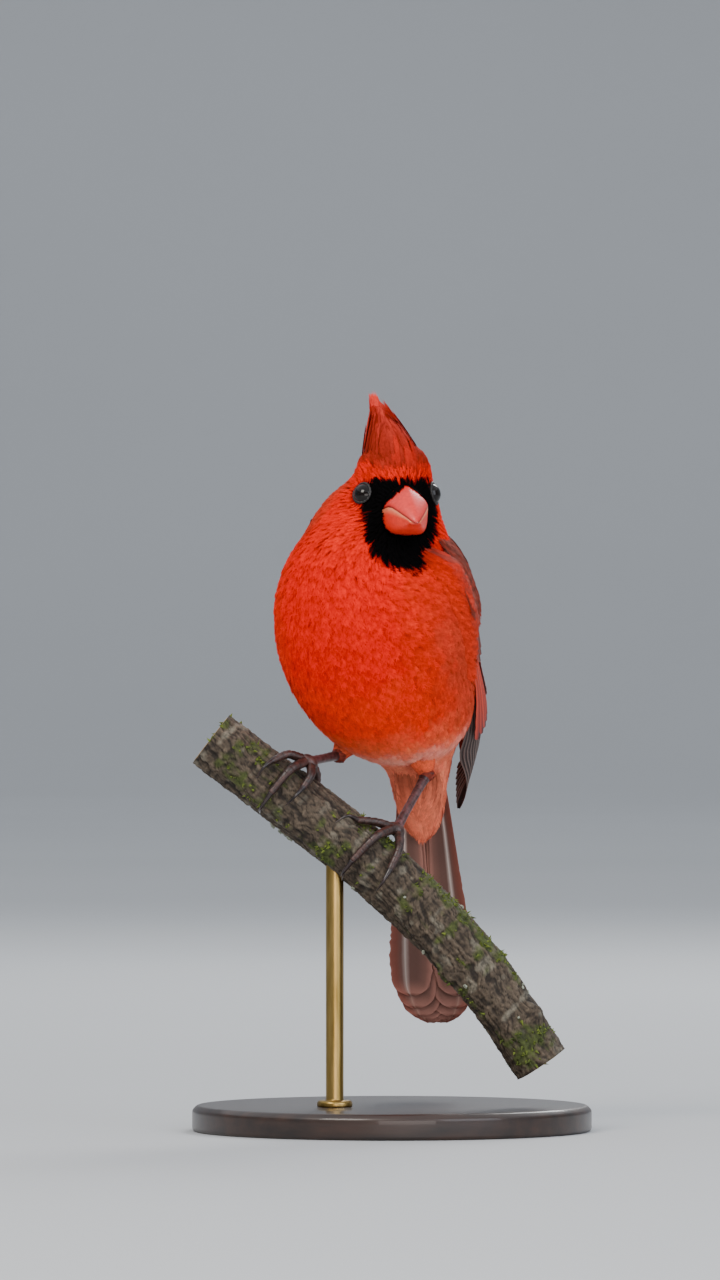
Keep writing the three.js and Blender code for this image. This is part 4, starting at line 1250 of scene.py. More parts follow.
class Face:
    """Eyes with the bare rims of their lids."""

    BALL = SurfaceFinish("dark brown eye", "060302", "120804", 0.06, 400.0, 3000.0, 2e-6, coat=0.1, specular=0.3)
    RIM = SurfaceFinish("eye rim skin", "0a0808", "1c1514", 0.45, 1500.0, 6000.0, 6e-5)

    def build(self) -> None:
        """Makes both eyes and rims."""
        for name, side in SIDES.items():
            middle, axis = EYE.seats[side]
            first = unit(np.cross(axis, HEAD.axes[2]))
            axes = np.stack([first, np.cross(axis, first), axis])
            eye = ball(middle, axes * EYE.radius, 42, 64)
            build(f"eyeball_{name}", eye, self.BALL, (f"eye_{name}",))
            build(f"eye_rim_{name}", self.rim(middle, axes), self.RIM)

    def rim(self, centre: Array, axes: Array) -> Form:
        """The lids' rim, a ring with fine folds where the eyeball meets the plumage."""
        turn, girth = circle(96), circle(14)[None, :, None]
        first, second, axis = axes
        out = first * np.cos(turn)[:, None] + second * np.sin(turn)[:, None]
        inner, outer = np.zeros(len(turn)), np.full(len(turn), 1.5)
        for _ in range(24):
            tilt = (inner + outer) / 2
            middle = centre + (axis * np.cos(tilt)[:, None] + out * np.sin(tilt)[:, None]) * EYE.radius
            beyond = PLUMAGE.field(middle) > 0.1
            inner, outer = np.where(beyond, tilt, inner), np.where(beyond, outer, tilt)
        thick = EYE.rim_thickness * (1 + 0.12 * np.sin(17 * turn) + 0.25 * np.cos(2 * turn) ** 2)[:, None, None]
        rings = middle[:, None] + (out[:, None] * 1.3 * np.cos(girth) + axis * np.sin(girth)) * thick
        count, sides = rings.shape[:2]
        i, j = crossed(np.arange(count), np.arange(sides))
        k, after, below = i * sides, (j + 1) % sides, (i + 1) % count * sides
        return Form(rings.reshape(-1, 3), quads(k + j, k + after, below + after, below + j)).facing_out()


@dataclass(frozen=True)
class Bill:
    """The cone-shaped bill, in the head's frame, from inside the face to the tip."""

    base: float = 7.5
    upper_tip: float = 26.5
    lower_tip: float = 24.6
    gap: float = 0.3
    upper_round: float = 1.3
    lower_round: float = 0.44
    nostril: Triple = (13.0, 4.4, 1.2)
    nostril_size: float = 0.8
    steps: int = 70
    arch: int = 64
    upper_bristles: int = 420
    lower_bristles: int = 300
    bristle_width: float = 0.34

    ridge = Profile((7.5, 5), (11, 4.4), (16, 2.9), (21, 0.2), (24.5, -2.6), (26.5, -4.5))
    mouth = Profile((7.5, -3.6), (11, -3), (15, -1.7), (18, -2), (23, -3.7), (26.5, -5.1))
    keel = Profile((7.5, -11.4), (12, -11), (17, -9.8), (21, -7.9), (24.6, -5.6))
    half_width = Profile((7.5, 7.1), (12, 6.9), (16, 5.9), (20, 4.2), (24, 2), (26.5, 0.5))

    def surface(self, ahead: Array, angle: Array, sense: float) -> Array:
        """Places on one half, in the head's frame: how far ahead, and the angle over it."""
        bow = self.upper_round if sense > 0 else self.lower_round
        edge = self.mouth(ahead) + sense * self.gap / 2
        tall = np.maximum(sense * ((self.ridge if sense > 0 else self.keel)(ahead) - edge), 0.3)
        left = self.half_width(ahead) * np.sign(np.cos(angle)) * np.abs(np.cos(angle)) ** bow
        return np.stack([ahead, left, edge + sense * tall * np.maximum(np.sin(angle), 0) ** bow], -1)

    def holds(self, local: Array) -> Array:
        """Which places of the head's frame are well inside the bill."""
        ahead, left, up = local.T
        edge = self.mouth(ahead)
        above = up > edge
        bow = np.where(above, self.upper_round, self.lower_round)
        tall = np.where(above, self.ridge(ahead) - edge, edge - self.keel(ahead))
        across = np.abs(left / self.half_width(ahead)) ** (2 / bow)
        return (ahead > self.base) & (across + np.abs((up - edge) / tall) ** (2 / bow) < 0.8)

    def half(self, tip: float, sense: float) -> Form:
        """One half of the bill, from how far it reaches and 1 for the upper or -1 for the lower half."""
        share = np.linspace(0, 1, self.steps + 1)
        ahead = self.base + (tip - self.base) * np.sin(share * math.pi / 2)
        local = self.surface(*crossed(ahead, np.linspace(0, math.pi, self.arch + 1)), sense)
        if sense > 0:
            for side in SIDES.values():
                off = np.linalg.norm(local - np.array(self.nostril) * (1, side, 1), axis=-1)
                local[..., 1] -= side * 0.8 * np.exp(-((off / self.nostril_size) ** 4))
        return loft(HEAD.at(local))

    def bristles(self) -> Form:
        """Short stiff black feathers from the face over the bill's base."""
        rng = draws(31)
        middle = np.array([0.0, 0.0, -3.0])
        parts = []
        for sense, count in ((1.0, self.upper_bristles), (-1.0, self.lower_bristles)):
            angle = rng.uniform(0, math.pi, count)
            ahead = np.full(count, self.base + 0.5)
            for _ in range(60):
                ahead = ahead + 0.08 * (PLUMAGE.field(HEAD.at(self.surface(ahead, angle, sense))) < -0.25)
            corner = np.sin(2 * angle) ** 2 if sense > 0 else 1.1 * np.sin(angle) ** 3
            length = (1.6 + 2.6 * corner) * rng.uniform(0.6, 1.3, count)
            start = ahead - rng.uniform(0.3, 1.4, count)
            lift = 1 + (0.015 + 0.05 * rng.random((count, 1)) * ALONG) * 1.2
            over = np.broadcast_to(angle[:, None], (count, STATIONS))
            local = self.surface(start[:, None] + ALONG * length[:, None], over, sense) - middle
            parts.append(HEAD.at(local * np.stack([lift**0, lift, lift], -1) + middle))
        points = np.concatenate(parts)
        count = len(points)
        shafts = Shafts.facing(points, points - HEAD.at(middle))
        tones = tone(Region.MASK) * rng.uniform(0.7, 1.6, (count, 1))
        place = 0.4 + 0.02 * rng.random((count, 2))
        return Tuft(4).spread(shafts, np.full(count, self.bristle_width), tones, place, SEED)

    def toned(self, form: Form, pale: str, deep: str) -> Form:
        """Gives a half its tones: pale along the ridge and the cutting edge, deeper at the base, with painted shade
        along the gape and in the nostril pits.
        """
        ahead, left, up = HEAD.local(form.points).T
        weight = np.clip(ease(ahead, 9.0, 20.0) * 0.5 + 0.3 * (1 + ripple(form.points, 5.0, 9)) / 2, 0, 1)
        over = (up - self.mouth(ahead)) / 0.45
        # A darker band on the upper half just above the mouth line: painted shade along the gape.
        line = 1 - 0.6 * np.exp(-((over - 0.4) ** 2)) * (over > 0)
        lip = 0.5 * np.exp(-(((over + 0.5) / 0.6) ** 2)) * (over < 0)
        colour = painted(painted(deep, (pale, weight)) * line[:, None], ("f0b480", lip))
        # Each nostril's dent is darkened to black at its middle: painted shade in the recess.
        pit = np.stack([ahead, np.abs(left) + 0.5, up], -1) - np.array(self.nostril)
        form.tone = colour * ease(np.linalg.norm(pit, axis=-1), 0.3, 1.0)[:, None]
        return form

    def build(self) -> None:
        """Makes both halves and the bristles at their base."""
        horn = TonedFinish("coral bill horn", 0.42, 1200.0, 2e-5, 0.12, coat=0.08, glow=0.1)
        upper = self.toned(self.half(self.upper_tip, 1.0), "ec3c32", "e0180c")
        lower = self.toned(self.half(self.lower_tip, -1.0), "f03418", "e42208")
        build("bill_upper_horn", upper, horn, ("bill_upper",))
        build("bill_lower_horn", lower, horn, ("bill_lower",))
        build("bill_bristles", self.bristles(), FeatherFinish("face bristles"))


BILL = Bill()


# Wings and tail


def vane_sheet(
    upper: Array, lower: Array, across: Array, along: Array, start: float, tones: tuple[Array, Array]
) -> Form:
    """A long feather as a thin plate.

    Args:
        upper: Its outer face, rows by columns by three.
        lower: Its inner face.
        across: Millimetres across it at each point.
        along: Millimetres along it at each point.
        start: Where its own map starts, so that its barbs are its own.
        tones: Colours of the outer and the inner face.

    Returns:
        The closed form with its own map.
    """
    form = plate(upper, lower)
    own = np.stack([across, np.broadcast_to(along, across.shape)], -1).reshape(-1, 2)
    form.vane = np.vstack([own, own]) + np.array([0.0, start])
    form.tone = np.vstack([face.reshape(-1, 3) for face in tones])
    return form


def ragged(columns: Array, amount: Array, rng: Random) -> Array:
    """The two sides of a vane, across it by its columns, a little uneven by an amount for each row."""
    uneven = 1 + amount[:, None] * rng.normal(size=(len(amount), 2))
    return columns * np.where(columns < 0, uneven[:, :1], uneven[:, 1:])


@dataclass(frozen=True)
class Tier:
    """A row of wing feathers, fanned from its first, nearest the back, to its last.

    Roots and tips are [s, q]: along the body, and round it from the wing's lower edge.
    """

    count: int
    roots: tuple[Pair, Pair]
    tips: tuple[Pair, Pair]
    half: float
    lift: float
    step: float
    sag: float
    dark: str
    edge: str
    pale: float


class Wing:
    """A folded wing: flight feathers and coverts in tiers over the arm, wrapped round the body."""

    SHIFT = Profile((-68, 6.2), (-62, 5.5), (-37, 3), (-10, 0.5), (10, 0))
    RISE = Profile((-68, 0), (-62, 2), (-50, 6), (-37, 5), (-20, 1.5), (-8, 0))
    BACK = Profile((-68, 8), (-62, 9), (-50, 11.5), (-37, 18), (-20, 25.8), (-10, 28.6), (7, 30), (20, 28), (34, 22))
    SIDE = {
        "left": Profile(
            (-68, 15), (-62, 17), (-50, 21), (-37, 26.5), (-20, 30.3), (-4, 32.8), (8, 33.8), (21, 32), (34, 26)
        ),
        "right": Profile(
            (-68, 7), (-62, 9), (-50, 17), (-37, 23.5), (-20, 28.8), (-4, 30.6), (8, 30.6), (21, 26.4), (34, 20)
        ),
    }
    LOWER_EDGE = {
        "left": Profile((-68, 10), (-62, 0), (-50, -34), (-37, -20), (-20, 2), (10, 4), (34, 6)),
        "right": Profile((-68, 0), (-62, 0), (-50, -10), (-37, 0), (-20, 12), (10, 12), (34, 8)),
    }
    PRIMARIES = Tier(8, ((0, 9), (5, 2)), ((-57, 18), (-67, 6)), 3.5, -3.0, -0.3, 1.0, "241f1f", "4a3c3a", 0.4)
    SECONDARIES = Tier(6, ((-1, 17), (0, 5.5)), ((-36, 18), (-42, 6.5)), 4.0, -1.0, -0.34, 0.4, "503236", "ee4422", 0.1)
    TERTIALS = Tier(3, ((2, 26), (0, 19)), ((-24, 28), (-33, 21)), 5.0, 0.9, -0.5, 0.0, "5a3a38", "b0443a", 0.15)
    GREATER = Tier(9, ((8, 26), (10, 3)), ((-8, 28), (-14, 3)), 2.6, 1.1, -0.2, 0.0, "5c302a", "ae4232", 0.12)
    MEDIAN = Tier(8, ((19, 23), (21, 4)), ((3, 27), (-1, 3.5)), 2.7, 1.3, -0.14, 0.0, "70322a", "b0442f", 0.1)
    UPPER_EDGE = Profile((-27, 31.5), (-10, 30), (4, 26.5), (34, 26))
    WIDTH = Profile((0, 0.5), (0.3, 0.85), (0.7, 1), (0.9, 0.92), (0.97, 0.7), (1, 0.25))
    COLUMNS = np.array([-1.0, -0.93, -0.7, -0.35, -0.07, 0.0, 0.07, 0.35, 0.7, 0.93, 1.0])
    CELLS = 8
    MAP_STEP = 40.0
    STEPS = 34
    THICKNESS = 0.28
    SHAFT = 0.05
    SINK = 0.9
    FRINGE = 1.2
    DRAPE = 1.7
    GAP = 1.17
    SLENDER = 0.24
    FRONT = {"left": (22.0, 33.0), "right": (8.0, 26.0)}

    def __init__(self, name: str) -> None:
        """Keeps which wing it is."""
        self.name = name
        self.sense = SIDES[name]
        self.side, self.lower_edge = self.SIDE[name], self.LOWER_EDGE[name]

    def at(self, s: Array, q: Array, lift: Array | float) -> Array:
        """A place on the folded wing: along the body, round it, and out from it."""
        out, back = self.side(s), self.BACK(s)
        angle = np.radians(self.lower_edge(s)) + 2 * q / (out + back)
        across = self.SHIFT(s) + self.sense * (out + lift) * np.cos(angle)
        return BODY.at(np.stack([s + 0 * q, across, self.RISE(s) + (back + lift) * np.sin(angle)], -1))

    def place(self, points: Array) -> tuple[Array, Array]:
        """The s and q of points near the folded wing."""
        s, left, up = BODY.local(points).T
        out, back = self.side(s), self.BACK(s)
        angle = np.arctan2((up - self.RISE(s)) / back, self.sense * (left - self.SHIFT(s)) / out)
        return s, (angle - np.radians(self.lower_edge(s))) * (out + back) / 2

    def covers(self, points: Array) -> Array:
        """Which points of the plumage lie well under the wing."""
        s, q = self.place(points)
        return (s > -34) & (s < 24) & (q > 7.0) & (q < np.where(s > -8, 20.0, 14.0))

    def fringe(self, points: Array) -> Array:
        """How far small feathers lift to lie over the wing's lower edge."""
        s, q = self.place(points)
        near = ease(q, -3.0, 0.0) * (1 - ease(q, 3.0, 6.0)) * ease(s, -18.0, -8.0) * (1 - ease(s, 24.0, 32.0))
        return near * np.clip(PLUMAGE.field(self.at(s, np.maximum(q, 0.5), self.FRINGE)), 0.0, 1.8)

    def feather(self, tier: Tier, index: int, rng: Random) -> Form:
        """One feather of a tier, by its place in the tier from the back."""
        share = index / (tier.count - 1)
        (root_s, root_q), (tip_s, tip_q) = (
            np.array(ends[0]) * (1 - share) + np.array(ends[1]) * share for ends in (tier.roots, tier.tips)
        )
        t = np.linspace(0, 1, self.STEPS + 1)[:, None] ** 0.9
        across = tier.half * self.WIDTH(t) * ragged(self.COLUMNS, 0.035 * ease(t[:, 0], 0.2, 0.6), rng)
        s = np.broadcast_to(root_s + (tip_s - root_s) * t, across.shape)
        q = root_q + (tip_q - root_q) * t - tier.sag * share * 4 * t * (1 - t) + across
        shaft = np.exp(-((self.COLUMNS / self.SHAFT) ** 2))
        camber = 0.3 * (1 - self.COLUMNS**2) * tier.half / 4
        lift = tier.lift + tier.step * index - self.SINK * (1 - ease(t, 0, 0.3)) + camber + 0.1 * shaft
        outer = ease(-self.COLUMNS, 0.1, 0.8)
        rim = ease(np.abs(self.COLUMNS), 0.72, 0.98)
        colour = painted(
            tier.dark,
            (tier.edge, 0.85 * outer * (1 - 0.5 * t) + 0.15 * rim),
            ("b49c92", tier.pale * rim * ease(t, 0.3, 0.9)),
            ("241512", np.broadcast_to(shaft * 0.7, across.shape)),
        )
        colour = colour * rng.uniform(0.86, 1.14)
        upper = self.at(s, q, lift)
        lower = self.at(s, q, lift - self.THICKNESS * (1 - 0.6 * t))
        return vane_sheet(upper, lower, across, t * abs(tip_s - root_s), self.MAP_STEP * index, (colour, colour))

    def coverts(self) -> Form:
        """The small feathers over the arm and shoulder."""
        rng = draws(7)
        s, q = self.scattered(rng, (8.0, 35.5), (-1.6, 27.0))
        inside = np.abs(q - 12.6) < 14.6 * np.sqrt(np.clip(1 - ((s - 10) / 26.5) ** 2, 0, 1))
        s, q = s[inside], q[inside]
        colour = painted("98392a", ("6e443c", rng.random(len(s)) * 0.8))
        return self.small(s, q, 0.5 * ease(20 - s, 0, 12), rng.uniform(5.2, 7.4, len(s)), colour, rng)

    def scapulars(self) -> Form:
        """The feathers of shoulder and mantle, from the back over the wing's upper edge."""
        rng = draws(8)
        s, q = self.scattered(rng, (-27.0, 34.0), (20.0, 38.0))
        kept = q > self.UPPER_EDGE(s) - np.where(s > -2, 6.0, 1.2)
        s, q = s[kept], q[kept]
        past = q - self.UPPER_EDGE(s)
        over = 1 - ease(past, -1.0, 4.0)
        beyond = PLUMAGE.field(self.at(s, q, 0.0))
        lift = 1.3 * over * (1 - ease(s, 20.0, 34.0)) - (1 - over) * (beyond + 0.6)
        wing = painted("a63c2c", ("84504a", rng.random(len(s)) * 0.8))
        colour = blend(MARKINGS.colour(self.at(s, q, lift)), wing, over)
        return self.small(s, q, lift, rng.uniform(6.5, 9.5, len(s)), colour, rng)

    def overlap(self) -> Form:
        """Loose feathers that drape from the body's side over the wing's lower edge."""
        rng = draws(9)
        s, q = self.scattered(rng, (-12.0, 31.0), (-6.5, 0.6), 0.8)
        kept = q < -4.0 + 4.6 * ease(s, -12.0, 20.0) + rng.normal(0, 0.5, len(s))
        s, q = s[kept], q[kept]
        along = s[:, None] - ALONG * rng.uniform(4.6, 7.0, (len(s), 1))
        across = q[:, None] + 1.6 * ALONG
        loose = rng.normal(0, 0.16, (len(s), 1)) - 1.1 * (1 - ALONG) ** 1.5

        def drape(place: Array, more: float) -> Array:
            """The sheet from the plumage to over the wing's edge, at places round the wing."""
            plumage = 0.5 * ease(place, -6.5, -4.0) - 0.1 - PLUMAGE.field(self.at(along, place, 0.0))
            over = np.maximum(self.DRAPE * ease(along, -14.0, 4.0), plumage)
            lift = plumage + (over - plumage) * ease(place, -5.0, -1.0)
            return self.at(along, place, self.sunk(along, place, lift) + loose + more)

        shaft = drape(across, 0.0)
        side = unit(drape(across + 0.4, 0.0) - drape(across - 0.4, 0.0)) * self.sense
        normal = square_to(unit(drape(across, 0.5) - shaft), side)
        red = painted(MARKINGS.colour(shaft[:, -2]), (Region.BREAST_SIDE, 0.5))
        colour = painted(red, ("94584e", rng.uniform(0.3, 1.0, len(s)) * ease(q, -4.5, -0.5)))
        colour = colour * rng.uniform(0.82, 1.18, (len(s), 1))
        shafts, widths = Shafts(shaft, side, normal), rng.uniform(0.9, 1.3, len(s))
        return Tuft(7).spread(shafts, widths, colour, self.unwrapped(s, q), SEED + 4)

    def unwrapped(self, s: Array, q: Array) -> Array:
        """Places of small feathers on the unwrap."""
        return np.stack([0.5 + 0.2 * self.sense + 0.004 * q, 0.55 + 0.004 * s], -1)

    def scattered(self, rng: Random, along: Pair, round_it: Pair, gap: float = GAP) -> list[Array]:
        """Roots in uneven rows over a patch of the wing."""
        grid = crossed(np.arange(*along, gap), np.arange(*round_it, gap))
        return [line.ravel() + rng.uniform(-0.5, 0.5, line.size) * gap for line in grid]

    def small(self, s: Array, q: Array, rise: Array, length: Array, colour: Array, rng: Random) -> Form:
        """Small feathers on the wing.

        Args:
            s: Where they are rooted along the body.
            q: Where they are rooted round it.
            rise: How far each lies over the wing's surface.
            length: Their lengths.
            colour: Their colours.
            rng: Where small irregularities come from.

        Returns:
            One form for all of them.
        """
        along = s[:, None] - ALONG * length[:, None]
        across = q[:, None] + 0 * ALONG
        lift = 0.3 + 0.9 * ALONG**0.8 + rng.normal(0, 0.12, (len(s), 1)) + rise[:, None]
        lift = self.sunk(along, across, lift)
        shaft = self.at(along, across, lift)
        side = unit(self.at(along, across + 0.5, lift) - self.at(along, across - 0.5, lift)) * self.sense
        shafts = Shafts(shaft, side, unit(self.at(along, across, lift + 0.5) - shaft))
        colour = colour * rng.uniform(0.78, 1.2, (len(s), 1))
        return Tuft(8).spread(shafts, length * self.SLENDER, colour, self.unwrapped(s, q), SEED + 3)

    def sunk(self, s: Array, q: Array, lift: Array) -> Array:
        """A lift that falls to the plumage at the shoulder's front end."""
        front = ease(s, *self.FRONT[self.name])
        return lift * (1 - front) + front * np.minimum(lift, 0.2 - PLUMAGE.field(self.at(s, q, 0.0)))

    def lining(self) -> Form:
        """The soft dark filling between the long feathers and the body."""
        s, angle = crossed(np.linspace(-54, -6, 40), circle(36))
        half = Profile((-54, 2.5), (-44, 5), (-8, 8))(s)
        depth = Profile((-54, 1.5), (-44, 4), (-30, 5), (-8, 4))(s)
        q = Profile((-54, 8.5), (-30, 9), (-6, 10))(s) + half * np.cos(angle)
        return loft(self.at(s, q, depth / 2 * (np.sin(angle) - 1) - 5.3))

    def arm(self) -> Form:
        """The rounded pad of arm and shoulder that the feathers are rooted in."""
        s, angle = crossed(np.linspace(-12, 34, 60), circle(48))
        half = Profile((-12, 8), (-4, 12), (8, 13.5), (20, 12), (28, 8.5), (34, 3))(s)
        depth = Profile((-12, 2.5), (0, 4.5), (14, 5), (27, 4), (34, 2))(s)
        q = Profile((-12, 15), (8, 13.5), (24, 12.5), (34, 12))(s) + half * np.cos(angle)
        round_off = np.sign(np.sin(angle)) * np.sqrt(np.abs(np.sin(angle)))
        return loft(self.at(s, q, self.sunk(s, q, 0.0 * s) + depth / 2 * (round_off - 1) - 0.3))

    def build(self) -> None:
        """Makes the wing's feathers, its small coverts and its arm."""
        rng = draws(int(self.sense))
        tiers = (self.PRIMARIES, self.SECONDARIES, self.TERTIALS, self.GREATER, self.MEDIAN)
        forms = [self.feather(tier, k, rng) for tier in tiers for k in range(tier.count)]
        vanes = Form.celled(forms, self.CELLS, math.ceil(len(forms) / self.CELLS))
        finish = VaneFinish(f"wing feathers {self.name}")
        build(f"wing_feathers_{self.name}", vanes, finish, (f"wing_{self.name}",))
        hidden = [form.under_feathers(tone("86301f")) for form in (self.arm(), self.lining())]
        parts = Form.joined([self.coverts(), self.scapulars(), self.overlap(), *hidden])
        build(f"wing_coverts_{self.name}", parts, FeatherFinish(f"wing coverts {self.name}", 0.6))


@dataclass(frozen=True)
class Tail:
    """Six pairs of tail feathers in a stack, the outer ones shorter and nearest the viewer."""

    lengths: tuple[float, ...] = (97, 97, 96, 94.5, 91.5, 87)
    root_spread: float = 0.75
    fan: float = 0.38
    layer: float = 0.5
    thickness: float = 0.26
    arch: float = 0.35
    shaft: float = 0.06
    ridge: float = 0.12
    map_step: float = 110.0
    steps: int = 70
    covert_count: int = 260
    covert_root: float = -8.0
    covert_end: float = 34.0
    covert_spread: float = 7.2

    covert_level = Profile((-36, -8.6), (-32, -9.6), (-26, -10.9), (-20, -11.8), (-12, -12.6), (-6, -14.4))

    HALF = Profile((0, 2), (0.25, 3.4), (0.6, 5.2), (0.85, 6.8), (0.95, 6), (0.985, 4), (1, 1))
    COLUMNS = np.array([-1.0, -0.95, -0.8, -0.5, -0.2, -0.05, 0.0, 0.05, 0.2, 0.5, 0.8, 0.95, 1.0])

    def feather(self, side: float, pair: int, rng: Random) -> Form:
        """One tail feather, on one side and in one pair from the middle out."""
        length = self.lengths[pair]
        fan = math.sin(math.radians(self.fan * (pair + 0.5)))
        layer = -self.layer * (pair + (0 if side > 0 else 0.5))
        t = np.linspace(0, 1, self.steps + 1)[:, None] ** 0.85
        across = self.HALF(t) * ragged(self.COLUMNS, 0.02 * ease(t[:, 0], 0.3, 0.8), rng)
        shaft_at = side * 0.28 * ease(t, 0.0, 0.4) * self.HALF(t) * (1 - self.COLUMNS**2)
        left = side * (self.root_spread * (pair + 0.4) + length * t * fan) + across + shaft_at
        shaft = np.exp(-((self.COLUMNS / self.shaft) ** 2))
        level = layer - self.arch * self.COLUMNS**2 + 0 * left
        along = np.broadcast_to(-length * t, left.shape)
        upper = TAIL.at(np.stack([along, left, level + self.ridge * shaft], -1))
        under = level - self.thickness * (1 - 0.5 * t) - self.ridge * shaft
        lower = TAIL.at(np.stack([along, left, under], -1))
        edge = np.maximum(ease(np.abs(self.COLUMNS), 0.7, 0.97), ease(t, 0.93, 1.0))
        outermost = pair == len(self.lengths) - 1
        pale, strong = ("f6e6dc", 1.0) if outermost else ("d8b0a0", 0.8)
        colour = painted(
            "6e5048",
            ("b07a6c", edge * 0.8),
            ("8c4234", np.broadcast_to(0.5 * ease(side * self.COLUMNS, 0.1, 0.6), left.shape)),
            (pale, shaft * strong * (1 - 0.6 * t)),
        )
        colour = colour * rng.uniform(0.88, 1.12)
        tones = (painted(colour, ("7c2a20", 0.55)), colour)
        return vane_sheet(upper, lower, across, -along, self.map_step * pair, tones)

    def coverts(self) -> Form:
        """The longest feathers under the tail's root, that end in one point."""
        rng = draws(12)
        count = self.covert_count
        back, side = rng.uniform(0, 1, count), rng.uniform(-1, 1, count)
        length = (10.0 + 5.0 * rng.random(count))[:, None]
        along = self.covert_root - 11.0 * back[:, None] - length * ALONG
        narrow = 1 - ease(-along, 12.0, self.covert_end) ** 1.5
        left = side[:, None] * self.covert_spread * narrow + 0.4
        under = self.covert_level(along) + 1.2 * (left / self.covert_spread) ** 2
        under = under + rng.normal(0, 0.15, (count, 1)) - 0.5 * ALONG
        shaft = TAIL.at(np.stack([along, left, under], -1))
        normals = unit(TAIL.turn((0.0, 0.0, -1.0)) + TAIL.turn((0.0, 1.0, 0.0)) * (left / 9.0)[..., None])
        sides = unit(np.cross(normals, unit(np.gradient(shaft, axis=1))))
        tones = tone(Region.UNDERTAIL) * rng.uniform(0.8, 1.15, (count, 1))
        place = np.stack([0.3 + 0.02 * side, 0.9 + 0.05 * back], -1)
        return Tuft(8).spread(Shafts(shaft, sides, normals), length[:, 0] * 0.13, tones, place, SEED)

    def build(self) -> None:
        """Makes the tail."""
        rng = draws(11)
        pairs = len(self.lengths)
        forms = [self.feather(side, pair, rng) for pair in range(pairs) for side in (1.0, -1.0)]
        build("undertail_coverts", self.coverts(), FeatherFinish("undertail feathers"))
        build("tail_feathers", Form.celled(forms, pairs, 2), VaneFinish("tail feathers"), ("tail",))


# The branch


@dataclass(frozen=True)
class Knot:
    """A knot or twig scar: share along the branch, degrees from its top, height and spread."""

    share: float
    angle: float
    height: float
    spread: float


